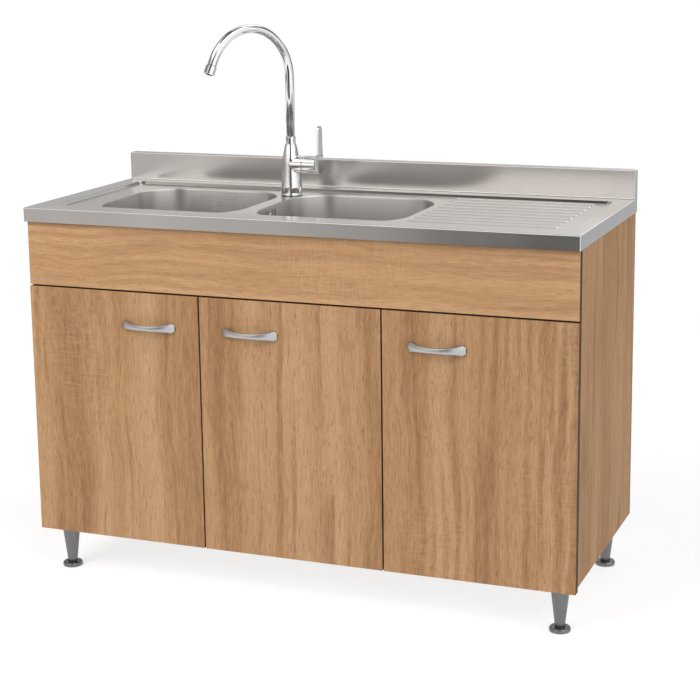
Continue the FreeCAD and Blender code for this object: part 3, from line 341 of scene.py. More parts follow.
def satinSteel(name, blur=0.0):
    f = Finish(name)
    f.shader.inputs["Metallic"].default_value = 1.0
    hair = f.noise(f.mapped(steel["hair"]), detail=2.0, roughness=0.6)
    cloud = f.noise(f.mapped((5, 5, 5)), detail=3.0, roughness=0.55)
    f.join(f.ramp(f.mix(steel["hairShare"], hair, cloud), [(0.30, steel["dark"]), (0.70, steel["light"])]),
           f.shader.inputs["Base Color"])
    f.join(f.spread(f.mix(steel["hairShare"], hair, cloud), steel["smooth"] + blur, steel["rough"] + blur),
           f.shader.inputs["Roughness"])
    return f.look


chrome = {"dark": (0.70, 0.705, 0.71), "light": (0.80, 0.80, 0.80), "smooth": 0.035, "rough": 0.10}


def chromePlate(name):
    f = Finish(name)
    f.shader.inputs["Metallic"].default_value = 1.0
    haze = f.noise(f.mapped((30, 30, 30)), detail=4.0, roughness=0.6)
    f.join(f.ramp(haze, [(0.35, chrome["dark"]), (0.65, chrome["light"])]), f.shader.inputs["Base Color"])
    f.join(f.spread(haze, chrome["smooth"], chrome["rough"]), f.shader.inputs["Roughness"])
    return f.look


def satinMetal(name, dark, light, smooth=0.28, rough=0.42):
    f = Finish(name)
    f.shader.inputs["Metallic"].default_value = 1.0
    grit = f.noise(f.mapped((1600, 1600, 1600)), detail=2.0)
    cloud = f.noise(f.mapped((25, 25, 25)), detail=3.0)
    f.join(f.ramp(f.mix(0.5, grit, cloud), [(0.35, dark), (0.65, light)]), f.shader.inputs["Base Color"])
    f.join(f.spread(f.mix(0.5, grit, cloud), smooth, rough), f.shader.inputs["Roughness"])
    f.bump(grit, 0.01, 0.0001)
    return f.look


oak = {
    "deep": (0.262, 0.134, 0.066),
    "body": (0.440, 0.246, 0.118),
    "pale": (0.560, 0.348, 0.190),
    "pore": (0.170, 0.088, 0.042),
    # edge: painted shade, the near-black colour put on the board sides to stand in for the shadow in the gaps
    # between boards
    "edge": (0.040, 0.024, 0.013),
    "bands": (12.0, 0.42),
    "lines": (38.0, 0.9),
    "fibre": (330.0, 20.0),
    "pores": (760.0, 48.0),
    "saw": (26.0, 400.0),
}


def oakBoard(name, turn, shift, lightShadeGain=1.0, pale=0.0, gapShadeDepths=None, haze=0.06):
    # the grain runs along local Z of the turned pattern; band gives the front and back depth of a board, and
    # the board's sides between them get painted shade: a near-black colour standing in for the shadow in the
    # gaps between boards
    f = Finish(name)
    straight = f.mapped((1, 1, 1), turn, shift)

    def grain(across, along, extra=0.0):
        made = f.node("ShaderNodeMapping")
        made.inputs["Scale"].default_value = (across, across, along)
        made.inputs["Location"].default_value = (extra, extra * 1.7, extra * 0.6)
        f.join(waved, made.inputs["Vector"])
        return made.outputs["Vector"]

    # the whole pattern sways slowly along the board
    sway = f.node("ShaderNodeTexNoise")
    sway.inputs["Scale"].default_value = 3.2
    sway.inputs["Detail"].default_value = 1.0
    f.join(straight, sway.inputs["Vector"])
    swayed = f.node("ShaderNodeVectorMath", operation="MULTIPLY_ADD")
    swayed.inputs[1].default_value = (0.05, 0.05, 0.0)
    f.join(sway.outputs["Color"], swayed.inputs[0])
    f.join(straight, swayed.inputs[2])
    waved = swayed.outputs["Vector"]

    bands = f.noise(grain(*oak["bands"]), detail=5.0, roughness=0.6, distortion=0.25)
    lines = f.noise(grain(*oak["lines"], 2.0), detail=3.0, roughness=0.5)
    fibre = f.noise(grain(*oak["fibre"]), detail=4.0, roughness=0.7)
    pores = f.noise(grain(*oak["pores"], 1.0), detail=1.0)
    rings = f.node("ShaderNodeTexWave", wave_type="RINGS", rings_direction="SPHERICAL", wave_profile="SIN")
    rings.inputs["Scale"].default_value = 1.0
    rings.inputs["Distortion"].default_value = 6.0
    rings.inputs["Detail"].default_value = 3.0
    rings.inputs["Detail Scale"].default_value = 1.0
    f.join(grain(15.0, 2.2, 0.31), rings.inputs["Vector"])
    figured = f.spread(f.noise(grain(3.2, 1.1, 5.0), detail=2.0), 0.0, 0.62, 0.50, 0.62)
    saw = f.noise(grain(*oak["saw"], 0.9), detail=1.0)
    sawPatch = f.spread(f.noise(grain(5.0, 3.2, 4.0), detail=1.0), 0.0, 0.26, 0.55, 0.64)

    tone = f.ramp(bands, [(0.32, oak["deep"]), (0.46, oak["body"]), (0.64, oak["pale"])])
    tone = f.mix(figured, tone,
                 f.ramp(rings.outputs["Fac"],
                        [(0.05, oak["deep"]), (0.40, oak["body"]), (0.80, oak["pale"])]))
    tone = f.mix(f.spread(lines, 0.0, 0.75, 0.55, 0.68), tone, (*oak["deep"], 1))
    tone = f.mix(0.34, tone, f.ramp(fibre, [(0.36, oak["deep"]), (0.50, oak["body"]), (0.62, oak["pale"])]))
    tone = f.mix(f.spread(pores, 0.0, 0.50, 0.58, 0.70), tone, (*oak["pore"], 1))
    tone = f.mix(f.reckon("MULTIPLY", f.spread(saw, 0.0, 1.0, 0.50, 0.62), sawPatch),
                 tone, (*oak["pale"], 1))
    # painted light and shade: each board's copy of the oak is brightened or darkened as a whole (pale share
    # and gain) for how light falls on that board
    tone = f.mix(pale, tone, (*oak["pale"], 1))
    tone = f.mix(1.0, tone, (lightShadeGain, lightShadeGain, lightShadeGain, 1), blend="MULTIPLY")
    # painted shade: between the front and back depth, the board's sides turn near-black to stand in for the
    # gap shadow
    if gapShadeDepths:
        depth = f.node("ShaderNodeSeparateXYZ")
        f.join(f.place, depth.inputs["Vector"])
        inside = f.reckon("MULTIPLY",
                          f.spread(depth.outputs["Y"], 0.0, 1.0, gapShadeDepths[0] + 0.0008, gapShadeDepths[0] + 0.0013),
                          f.spread(depth.outputs["Y"], 1.0, 0.0, gapShadeDepths[1] - 0.0013, gapShadeDepths[1] - 0.0008))
        tone = f.mix(inside, tone, (*oak["edge"], 1))
    f.join(tone, f.shader.inputs["Base Color"])
    f.join(f.spread(fibre, 0.46, 0.60), f.shader.inputs["Roughness"])
    f.shader.inputs["Specular IOR Level"].default_value = haze
    f.bump(f.mix(0.5, fibre, pores), 0.14, 0.0003)
    return f.look


def plainFinish(name, dark, light, rough, scale=60, bump=0.1, metal=0.0):
    f = Finish(name)
    f.shader.inputs["Metallic"].default_value = metal
    cloud = f.noise(f.mapped((scale, scale, scale)), detail=4.0, roughness=0.6)
    f.join(f.ramp(cloud, [(0.35, dark), (0.65, light)]), f.shader.inputs["Base Color"])
    f.join(f.spread(cloud, rough - 0.06, rough + 0.06), f.shader.inputs["Roughness"])
    f.bump(cloud, bump, 0.0003)
    return f.look


looks = {
    "top": satinSteel("satin_steel_top"),
    "bowl": satinSteel("satin_steel_bowl", steel["bowlBlur"]),
    "chrome": chromePlate("chrome_plate"),
    "handle": satinMetal("satin_handle", (0.44, 0.435, 0.435), (0.50, 0.495, 0.495), 0.32, 0.38),
    "leg": satinMetal("satin_leg", (0.15, 0.15, 0.152), (0.21, 0.21, 0.21), 0.24, 0.34),
    # copies of one oak with painted light and shade: doors at gain 0.75, the fascia lighter at 0.84 with a
    # 0.24 pale share, the sides darker at 0.68
    "doors": oakBoard("oak_doors", (0, 0, 0), (0.07, 0.0, 0.21), 0.75, 0.0, (-0.234, -0.216)),
    "fascia": oakBoard("oak_fascia", (0, 90, 0), (0.4, 0.0, 0.10), 0.84, 0.24, (-0.232, -0.214)),
    "sides": oakBoard("oak_sides", (0, 0, 0), (0.33, 0.2, 0.6), 0.68, 0.0, None, 0.03),
    "carcass": plainFinish("carcass_board", (0.62, 0.61, 0.58), (0.72, 0.71, 0.68), 0.5, 90),
    "zinc": plainFinish("zinc_steel", (0.42, 0.43, 0.45), (0.60, 0.61, 0.63), 0.34, 140, 0.15, 1.0),
    "brass": plainFinish("tap_brass", (0.55, 0.38, 0.14), (0.68, 0.49, 0.20), 0.36, 120, 0.15, 1.0),
    "plastic": plainFinish("drain_plastic", (0.66, 0.67, 0.67), (0.76, 0.77, 0.77), 0.42, 35, 0.08),
    "rubber": plainFinish("seal_rubber", (0.018, 0.018, 0.018), (0.035, 0.035, 0.035), 0.7, 300, 0.2),
}
print("finishes ready")


# sink top: border, recess, ribs, splashback and skirts in one sheet
sinkTop = {
    "low": (-0.600, -0.242), "high": (0.600, 0.258),
    "rim": 0.808, "skirt": 0.778, "splashTop": 0.870, "splashFront": 0.233,
    "fold": 0.0022, "sheet": 0.001,
    "recessLow": (-0.558, -0.189), "recessHigh": (0.566, 0.198), "recessCorner": 0.018,
    "deck": 0.8025,
    "foldSteps": 4, "recessSteps": 8,
    "lip": 0.0006, "seam": 0.00015, "slopeRun": 0.009, "slopeSpare": 0.0004,
    "softTop": (0.0040, 38, 4), "softFoot": (0.0012, 38, 3),  # radius, slope in degrees, steps
    "tapHole": (-0.139, 0.120, 0.0175), "tapHoleSides": 40,
}
bowls = {
    "left": {"low": (-0.484, -0.176), "high": (-0.158, 0.148)},
    "right": {"low": (-0.120, -0.176), "high": (0.206, 0.148)},
    "corner": 0.088, "roll": 0.003, "ledge": 0.0002, "cornerSteps": 14,
    "floor": 0.6525, "taper": 0.009, "floorRadius": 0.028, "drain": 0.044, "drainSides": 56,
    "lean": 86, "rollSteps": 5, "footSteps": 9, "wallSteps": 4,
}
ribs = {
    "count": 9, "pitch": 0.0385, "width": 0.015, "height": 0.002,
    "start": 0.222, "end": 0.533, "middle": 0.0165, "steps": 6,
    "corner": 0.9, "crown": 0.8, "lead": 0.0004, "cornerSteps": 8,
}


def bowlOutline(side, keepFace):
    spare = bowls["roll"] + bowls["ledge"]
    low = [v - spare for v in bowls[side]["low"]]
    high = [v + spare for v in bowls[side]["high"]]
    roundedOutline(low, high, sinkTop["deck"], bowls["corner"] + spare, bowls["cornerSteps"], keepFace)


def atHeight(edge, height, near=1e-6):
    return abs(edge.verts[0].co.z - height) < near and abs(edge.verts[1].co.z - height) < near


def fillPlate(piece, height):
    # closes a flat plate between the open outlines at one height;
    # done in millimetres, where the fill is exact
    bpy.ops.mesh.select_all(action="SELECT")
    bpy.ops.transform.resize(value=(1000, 1000, 1000), center_override=(0, 0, 0))
    pickEdges(piece, lambda e: atHeight(e, height * 1000, 0.01) and len(e.link_faces) < 2)
    bpy.ops.mesh.fill(use_beauty=True)
    bpy.ops.mesh.select_all(action="SELECT")
    bpy.ops.transform.resize(value=(0.001, 0.001, 0.001), center_override=(0, 0, 0))
    bpy.ops.mesh.select_all(action="DESELECT")


def makeSinkTop():
    s = sinkTop
    piece = softBox("sink_sheet", (*s["low"], s["skirt"]), (*s["high"], s["rim"]), 0.0)
    openMesh(piece)
    bpy.ops.mesh.select_all(action="SELECT")
    bpy.ops.mesh.remove_doubles(threshold=0.00001)
    bpy.ops.mesh.bisect(plane_co=(0, s["splashFront"], 0), plane_no=(0, 1, 0))
    pickFaces(piece, lambda f: f.normal.z > 0.9 and f.calc_center_median().y > s["splashFront"])
    bpy.ops.mesh.extrude_region_move(TRANSFORM_OT_translate={"value": (0, 0, s["splashTop"] - s["rim"])})
    pickFaces(piece, lambda f: f.normal.z < -0.9)
    bpy.ops.mesh.delete(type="FACE")
    bpy.ops.mesh.select_all(action="SELECT")
    bpy.ops.mesh.dissolve_limited(angle_limit=math.radians(1))
    pickEdges(piece, lambda e: len(e.link_faces) == 2 and e.calc_face_angle(0) > 0.5)
    bpy.ops.mesh.bevel(offset=s["fold"], segments=s["foldSteps"], affect="EDGES")
    # the border's plate goes, and comes back round the recess
    pickFaces(piece, lambda f: f.normal.z > 0.999 and abs(f.calc_center_median().z - s["rim"]) < 1e-5)
    bpy.ops.mesh.inset(thickness=s["lip"], depth=0)
    bpy.ops.mesh.delete(type="FACE")
    roundedOutline(s["recessLow"], s["recessHigh"], s["rim"], s["recessCorner"], s["recessSteps"])
    radius, lean, steps = s["softTop"]
    softTop = arcSteps(radius, 0, lean, steps)
    radius, lean, steps = s["softFoot"]
    softFoot = arcSteps(radius, lean, 0, steps)
    slope = (s["slopeRun"] + s["slopeSpare"] - s["lip"] - sum(a for a, b in softTop + softFoot),
             -(s["rim"] - s["deck"]) - sum(b for a, b in softTop + softFoot))
    pressIn([(s["lip"], 0)] + softTop + [slope] + softFoot + [(s["seam"], 0)])
    bpy.ops.mesh.delete(type="ONLY_FACE")
    fillPlate(piece, s["rim"])
    # ribs, then the holes, then the deck between them all
    r = ribs
    for k in range(r["count"]):
        y = r["middle"] + (k - (r["count"] - 1) / 2) * r["pitch"]
        half = r["width"] / 2
        roundedOutline((r["start"], y - half), (r["end"], y + half), s["deck"],
                       half * r["corner"], r["cornerSteps"])
        reach = half * r["crown"]
        bell = [r["height"] * (0.5 - 0.5 * math.cos(math.pi * n / r["steps"]))
                for n in range(r["steps"] + 1)]
        pressIn([(r["lead"], 0)] + [(reach / r["steps"], bell[n + 1] - bell[n]) for n in range(r["steps"])])
    for side in ("left", "right"):
        bowlOutline(side, False)
    x, y, radius = s["tapHole"]
    bpy.ops.mesh.primitive_circle_add(vertices=s["tapHoleSides"], radius=radius, location=(x, y, s["deck"]))
    fillPlate(piece, s["deck"])
    faceOut(piece)
    useModifier(piece, "SOLIDIFY", thickness=s["sheet"], offset=-1.0)
    return finishPiece(piece, looks["top"], "cabinet", ["sink_top"], 30)


makeSinkTop()
print("sink top pressed")


# bowls: rolled rim, tapered walls, round floor corners, drain hole
overflow = {
    "x": -0.120, "y": -0.043, "z": 0.7845,
    "pitch": 0.0125, "width": 0.0036, "height": 0.020, "screw": 0.0026,
    "slots": (-2, -1, 1, 2), "corner": 0.45, "through": 0.02,
}


def makeBowl(side):
    b = bowls
    putDown()
    bpy.ops.mesh.primitive_plane_add(size=0.001, location=(0, 0, sinkTop["deck"]))
    piece = nameIt("bowl_shell_" + side)
    openMesh(piece)
    bpy.ops.mesh.select_all(action="SELECT")
    bpy.ops.mesh.delete(type="VERT")
    bowlOutline(side, True)
    roll = arcSteps(b["roll"], 0, b["lean"], b["rollSteps"])
    foot = arcSteps(b["floorRadius"], b["lean"], 0, b["footSteps"])
    sunk = sum(d for a, d in roll + foot)
    wall = -(sinkTop["deck"] - b["floor"]) - sunk
    n = b["wallSteps"]
    pressIn([(b["ledge"], 0)] + roll + [(b["taper"] / n, wall / n)] * n + foot)
    bpy.ops.mesh.delete(type="ONLY_FACE")
    x = (b[side]["low"][0] + b[side]["high"][0]) / 2
    y = (b[side]["low"][1] + b[side]["high"][1]) / 2
    bpy.ops.mesh.primitive_circle_add(vertices=b["drainSides"], radius=b["drain"],
                                      location=(x, y, b["floor"]))
    fillPlate(piece, b["floor"])
    openMesh(piece)
    bpy.ops.mesh.select_all(action="SELECT")
    bpy.ops.mesh.remove_doubles(threshold=0.00001)
    bpy.ops.mesh.normals_make_consistent(inside=False)
    shell = bmesh.from_edit_mesh(piece.data)
    floorFace = min(shell.faces, key=lambda f: f.calc_center_median().z)
    if floorFace.normal.z < 0:
        bpy.ops.mesh.flip_normals()
    putDown()
    useModifier(piece, "SOLIDIFY", thickness=sinkTop["sheet"], offset=-1.0)
    return piece


def cutOverflow(piece):
    o = overflow
    for k in o["slots"]:
        middle = (o["x"], o["y"] + k * o["pitch"], o["z"])
        low = (middle[0] - o["through"], middle[1] - o["width"] / 2, middle[2] - o["height"] / 2)
        high = (middle[0] + o["through"], middle[1] + o["width"] / 2, middle[2] + o["height"] / 2)
        cutAway(piece, softBox("slot_cutter", low, high, o["width"] * o["corner"], 3))
    cutter = turned("screw_cutter", (o["x"], o["y"], o["z"]), (1, 0, 0),
                    [(-o["through"], o["screw"]), (o["through"], o["screw"])], 16)
    cutAway(piece, cutter)


leftBowl = makeBowl("left")
rightBowl = copied(leftBowl, "bowl_shell_right",
                   (bowls["right"]["low"][0] - bowls["left"]["low"][0], 0, 0))
cutOverflow(rightBowl)
finishPiece(leftBowl, looks["bowl"], "cabinet", ["bowl_left"], 40)
finishPiece(rightBowl, looks["bowl"], "cabinet", ["bowl_right"], 40)
print("bowls drawn")


# tap: cast body with its arm, collar, high-arch spout, hub, lever and sleeve ring
tap = {
    "x": -0.139, "y": 0.120, "bottom": 0.8035,
    "ring": [(0.0, 0.0230), (0.0006, 0.0235), (0.0042, 0.0235), (0.0048, 0.0230)],
    "body": [(0.0045, 0.0224), (0.0062, 0.0228), (0.017, 0.0228), (0.028, 0.0220), (0.040, 0.0212),
             (0.052, 0.0205), (0.063, 0.0199), (0.073, 0.0194), (0.081, 0.0187), (0.090, 0.0172),
             (0.098, 0.0156), (0.106, 0.0139), (0.1135, 0.0123)],
    "armHeight": 0.8715, "armRadius": 0.0192, "armReach": 0.031, "armEdge": 0.0008,
    "voxel": 0.0008, "polish": 14,
    "collar": [(0.0, 0.0106), (0.0005, 0.0110), (0.0150, 0.0110), (0.0155, 0.0106)],
    "collarBottom": 0.9165,
    "sleeve": 0.0093, "tube": 0.0098, "step": 0.962, "stepRise": 0.0006, "tubeStart": 0.915,
    "riserTop": 1.0630, "arch": 0.107, "sweep": 155.0, "archSteps": 62,
    "tail": 0.012, "heading": (-0.462, -0.887),
}


def makeTapBody():
    t = tap
    centre = (t["x"], t["y"], t["bottom"])
    body = turned("tap_body_cast", centre, (0, 0, 1), t["body"], 64)
    arm = turned("tap_arm", (t["x"], t["y"], t["armHeight"]), (1, 0, 0),
                 [(0.0, t["armRadius"]), (t["armReach"] - t["armEdge"], t["armRadius"]),
                  (t["armReach"], t["armRadius"] - t["armEdge"])], 64)
    cutAway(body, arm, "UNION")
    useModifier(body, "REMESH", mode="VOXEL", voxel_size=t["voxel"])
    useModifier(body, "SMOOTH", factor=0.5, iterations=t["polish"])
    ring = turned("tap_ring", centre, (0, 0, 1), t["ring"], 96)
    body = putTogether("tap_body_cast", [body, ring])
    return finishPiece(body, looks["chrome"], "cabinet", ["tap_body"], 50, False)


def makeSpout():
    t = tap
    along = Vector((*t["heading"], 0)).normalized()
    side = Vector((0, 0, 1)).cross(along)
    centre = (t["x"], t["y"], t["tubeStart"])
    tube = turned("spout_tube", centre, (0, 0, 1),
                  [(0, t["sleeve"]), (t["step"] - t["tubeStart"], t["sleeve"]),
                   (t["step"] - t["tubeStart"] + t["stepRise"], t["tube"]),
                   (t["riserTop"] - t["tubeStart"], t["tube"])], 48, True, False)
    openMesh(tube, "EDGE")
    pickEdges(tube, lambda e: atHeight(e, t["riserTop"]))
    hub = Vector((t["x"], t["y"], t["riserTop"])) + along * t["arch"]
    bpy.ops.mesh.spin(steps=t["archSteps"], angle=-math.radians(t["sweep"]), center=hub, axis=side)
    lean = math.radians(t["sweep"])
    tangent = Vector((0, 0, 1)) * math.cos(lean) + along * math.sin(lean)
    bpy.ops.mesh.extrude_edges_move(TRANSFORM_OT_translate={"value": tangent * t["tail"]})
    bpy.ops.mesh.edge_face_add()
    faceOut(tube)
    finishPiece(tube, looks["chrome"], "spout", ["spout"], 50, False)


makeTapBody()
makeSpout()
collar = turned("spout_collar_ring", (tap["x"], tap["y"], tap["collarBottom"]), (0, 0, 1), tap["collar"], 64)
finishPiece(collar, looks["chrome"], "spout", ["spout_collar"], 50)
for name, node, body, edge in (("hub_plate", "lever_hub", "mixer_hub", 0.0006),
                               ("lever_blade", "mixer_lever", "mixer_lever", 0.0007),
                               ("sleeve_ring", "cartridge_sleeve", "cabinet", 0.0005)):
    finishPiece(softened(name, node, edge), looks["chrome"], body, [node], 40)
print("tap done")


# boards: three doors, fascia, side panels
boards = {
    "edge": 0.0009, "doorFront": -0.234, "doorBack": -0.216,
    "doorLow": 0.098, "doorHigh": 0.639, "doorWidth": 0.396333,
    "cupRadius": 0.01755, "cupDepth": 0.0121, "cupEdge": 0.0225, "cupHeights": (0.188, 0.549), "cupSides": 48,
}
doorPlaces = {"left": (-0.5975, 1), "middle": (-0.198167, -1), "right": (0.201167, -1)}


def cutCups(piece, name):
    # two round recesses for the hinge cups in the back of the door
    b = boards
    x, hinged = doorPlaces[name]
    cupX = x + b["cupEdge"] if hinged > 0 else x + b["doorWidth"] - b["cupEdge"]
    for z in b["cupHeights"]:
        cutAway(piece, turned("cup_cutter", (cupX, b["doorBack"], z), (0, -1, 0),
                              [(-0.01, b["cupRadius"]), (b["cupDepth"], b["cupRadius"])], b["cupSides"]))


firstX = doorPlaces["left"][0]
doorBoard = softBox("door_board", (firstX, boards["doorFront"], boards["doorLow"]),
                    (firstX + boards["doorWidth"], boards["doorBack"], boards["doorHigh"]), boards["edge"])
for name in doorPlaces:
    door = copied(doorBoard, "door_board_" + name, (doorPlaces[name][0] - firstX, 0, 0))
    cutCups(door, name)
    finishPiece(door, looks["doors"], "door_" + name, ["door_" + name])
bpy.data.objects.remove(doorBoard)
finishPiece(softBox("fascia_board", *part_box("fascia"), boards["edge"]),
            looks["fascia"], "cabinet", ["fascia"])
rightBoard = softBox("side_board_right", *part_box("side_panel_right"), boards["edge"])
leftBoard = copied(rightBoard, "side_board_left",
                   (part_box("side_panel_left")[0][0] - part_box("side_panel_right")[0][0], 0, 0))
finishPiece(rightBoard, looks["sides"], "cabinet", ["side_panel_right"])
finishPiece(leftBoard, looks["sides"], "cabinet", ["side_panel_left"])
print("boards hung")


# bow handles: a waisted bar, bent away from the door
handle = {
    "half": 0.063, "reach": 0.024, "thickness": 0.0065, "foot": 0.020,
    "endHeight": 0.0105, "middleHeight": 0.0055, "z": 0.569,
    "places": {"left": -0.31517, "middle": -0.08417, "right": 0.31517}, "stations": 33, "sides": 20,
    "shoulder": 0.83, "rounding": 0.17, "squared": 0.8,
}


def makeHandle(name):
    h = handle
    x0 = h["places"][name]
    putDown()
    bpy.ops.mesh.primitive_uv_sphere_add(segments=h["sides"], ring_count=h["stations"],
                                         radius=1, rotation=(0, math.pi / 2, 0))
    piece = nameIt("bow_handle_" + name)
    inner = h["half"] - h["foot"]
    outerR = (h["half"] ** 2 + h["reach"] ** 2) / (2 * h["reach"])
    innerReach = h["reach"] - h["thickness"]
    innerR = (inner ** 2 + innerReach ** 2) / (2 * innerReach)
    for v in piece.data.vertices:
        u = max(-1, min(1, v.co.x))
        u = math.asin(u) / (math.pi / 2)
        around = math.atan2(v.co.y, v.co.z)
        along = u * h["half"]
        front = math.sqrt(max(0, outerR ** 2 - along ** 2)) - (outerR - h["reach"])
        back = (math.sqrt(max(0, innerR ** 2 - along ** 2)) - (innerR - innerReach)
                if abs(along) < inner else 0.0)
        tall = (h["middleHeight"] + (h["endHeight"] - h["middleHeight"]) * (abs(u) / h["shoulder"]) ** 2
                if abs(u) < h["shoulder"] else h["endHeight"])
        if abs(u) > h["shoulder"]:
            tall *= math.sqrt(max(0, 1 - ((abs(u) - h["shoulder"]) / h["rounding"]) ** 2))
        c, s = math.cos(around), math.sin(around)
        squareC = math.copysign(abs(c) ** h["squared"], c)
        squareS = math.copysign(abs(s) ** h["squared"], s)
        v.co = (x0 + along,
                boards["doorFront"] - (front + back) / 2 + squareS * (front - back) / 2,
                h["z"] + squareC * tall)
    faceOut(piece)
    return piece


bow = makeHandle("left")
bows = {"left": bow}
for name in ("middle", "right"):
    bows[name] = copied(bow, "bow_handle_" + name,
                        (handle["places"][name] - handle["places"]["left"], 0, 0))
for name, piece in bows.items():
    finishPiece(piece, looks["handle"], "door_" + name, ["handle_" + name], 60, False)
print("handles bent")


# legs and foot discs
leg = {
    "places": {"front_left": (-0.554, -0.182), "front_right": (0.554, -0.182),
               "back_left": (-0.554, 0.213), "back_right": (0.554, 0.213)},
    "coneSides": 48, "discSides": 56,
    "cone": [(0.0090, 0.0098), (0.0094, 0.0101), (0.1030, 0.0209), (0.1040, 0.0204)],
    "disc": [(0.0, 0.0200), (0.0006, 0.0212), (0.0018, 0.0215), (0.0060, 0.0215),
             (0.0076, 0.0210), (0.0086, 0.0200), (0.0090, 0.0185)],
}

firstX, firstY = leg["places"]["front_left"]
firstCone = turned("leg_cone", (firstX, firstY, 0), (0, 0, 1), leg["cone"], leg["coneSides"])
firstDisc = turned("foot_disc", (firstX, firstY, 0), (0, 0, 1), leg["disc"], leg["discSides"])
discs = []
for name, (x, y) in leg["places"].items():
    cone = copied(firstCone, "leg_cone_" + name, (x - firstX, y - firstY, 0))
    finishPiece(cone, looks["leg"], "cabinet", ["leg_" + name], 30)
    discs.append(copied(firstDisc, "foot_disc_" + name, (x - firstX, y - firstY, 0)))
bpy.data.objects.remove(firstCone)
bpy.data.objects.remove(firstDisc)
finishPiece(putTogether("foot_discs", discs), looks["leg"], "cabinet", ["leg_feet"], 30)
print("legs set")


# CAD nodes that keep their shape
kept = {
    "chrome": ["aerator"],
    "bowl": ["waste_flanges", "basket_left", "basket_right", "overflow_screw"],
    "plastic": ["waste_bodies", "overflow_housing", "overflow_pipe", "cross_pipe", "drain_tee",
                "trap_body", "trap_cup", "outlet_pipe", "union_nuts", "door_buffers"],
    "rubber": ["waste_seals", "tap_seal"],
    "brass": ["tap_shank", "tap_nut"],
    "carcass": ["divider_panel", "bottom_panel", "front_rail", "back_rails", "shelf"],
    "zinc": ["tap_washer", "shelf_pins", "hinge_plates", "hinge_plate_screws", "hinge_arms",
             "hinge_cups_left", "hinge_cups_middle", "hinge_cups_right",
             "handle_screws_left", "handle_screws_middle", "handle_screws_right", "leg_plates", "leg_screws"],
}
for look, names in kept.items():
    for name in names:
        nodes[name].data.materials.clear()
        nodes[name].data.materials.append(looks[look])
standIns = {n for o in bpy.data.objects for n in list(o.get("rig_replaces", []))}
left = set(nodes) - standIns - {n for names in kept.values() for n in names}
print("nodes without a finish:", sorted(left))


# floor, light and camera
studio = {
    "floorPlace": (0, 0.2, -0.0005), "floorSize": (16, 4.6, 1), "floorAlbedo": (0.42, 0.44),
    "floorGlow": 0.58, "floorRough": 0.8, "sky": 1.2, "backdrop": (0.84, 0.84, 0.84, 1),
    "key": {"place": (-1.5, -3.2, 2.6), "size": (2.0, 2.0), "power": 80.0},
    "fill": {"place": (3.0, -1.0, 1.8), "size": (1.5, 2.0), "power": 14.0},
    "target": (0, 0, 0.5),
}

putDown()
bpy.ops.mesh.primitive_plane_add(size=1, location=studio["floorPlace"])
bpy.ops.transform.resize(value=studio["floorSize"])
floor = nameIt("studio_floor")
floorLook = Finish("studio_floor")
mottle = floorLook.noise(floorLook.mapped((4, 4, 4)))
floorLook.join(floorLook.ramp(mottle, [(0.3, studio["floorAlbedo"][0]), (0.7, studio["floorAlbedo"][1])]),
               floorLook.shader.inputs["Base Color"])
floorLook.shader.inputs["Roughness"].default_value = studio["floorRough"]
floorLook.shader.inputs["Emission Color"].default_value = (1, 1, 1, 1)
floorLook.shader.inputs["Emission Strength"].default_value = studio["floorGlow"]
floor.data.materials.append(floorLook.look)

# the room as the metal sees it: white, darker straight ahead of the unit and near the ground
room = {
    "above": [
        (0.0, 0.9), (0.018, 0.78), (0.033, 0.68), (0.044, 0.52), (0.06, 0.5), (0.075, 0.42),
        (0.11, 0.42), (0.128, 0.08), (0.152, 0.08), (0.2, 0.36), (0.3, 0.42), (0.38, 0.75),
        (0.415, 1.0), (0.47, 1.05), (0.5, 0.55), (0.535, 0.04), (0.56, 0.04), (0.585, 1.15),
        (0.72, 1.2), (0.82, 0.75), (0.84, 0.06), (0.885, 0.06), (0.915, 0.62), (1.0, 0.95),
    ],
    "below": [
        (0.0, 0.5), (0.25, 0.26), (0.36, 0.3), (0.4, 0.5), (0.43, 0.58), (0.446, 0.3),
        (0.456, 0.02), (0.5, 0.01), (0.545, 0.02), (0.57, 1.1), (0.66, 1.1), (0.75, 0.6),
        (0.9, 0.42), (1.0, 0.5),
    ],
    "lifted": [
        (0.0, 1.0), (0.16, 1.0), (0.21, 1.6), (0.28, 1.6), (0.33, 0.55), (0.57, 0.55),
        (0.65, 2.1), (0.86, 2.0), (0.94, 0.3), (1.0, 0.2),
    ],
    "tint": [
        (0.0, (0.97, 0.985, 1.0)), (0.036, (0.97, 0.985, 1.0)), (0.052, (1.0, 0.975, 0.945)),
        (0.45, (1.0, 0.97, 0.935)), (0.56, (0.98, 0.99, 1.0)), (1.0, (0.97, 0.985, 1.0)),
    ],
}
world = bpy.data.worlds.new("studio")
world.use_nodes = True
sky = world.node_tree


def skyNode(kind, **settings):
    made = sky.nodes.new(kind)
    for key, value in settings.items():
        setattr(made, key, value)
    return made


def skyRamp(value, stops):
    made = skyNode("ShaderNodeValToRGB")
    made.color_ramp.interpolation = "EASE"
    while len(made.color_ramp.elements) < len(stops):
        made.color_ramp.elements.new(0.5)
    for element, (position, tone) in zip(made.color_ramp.elements, stops):
        element.position = position
        element.color = (*tone, 1) if isinstance(tone, tuple) else (tone, tone, tone, 1)
    sky.links.new(value, made.inputs["Fac"])
    return made.outputs["Color"]


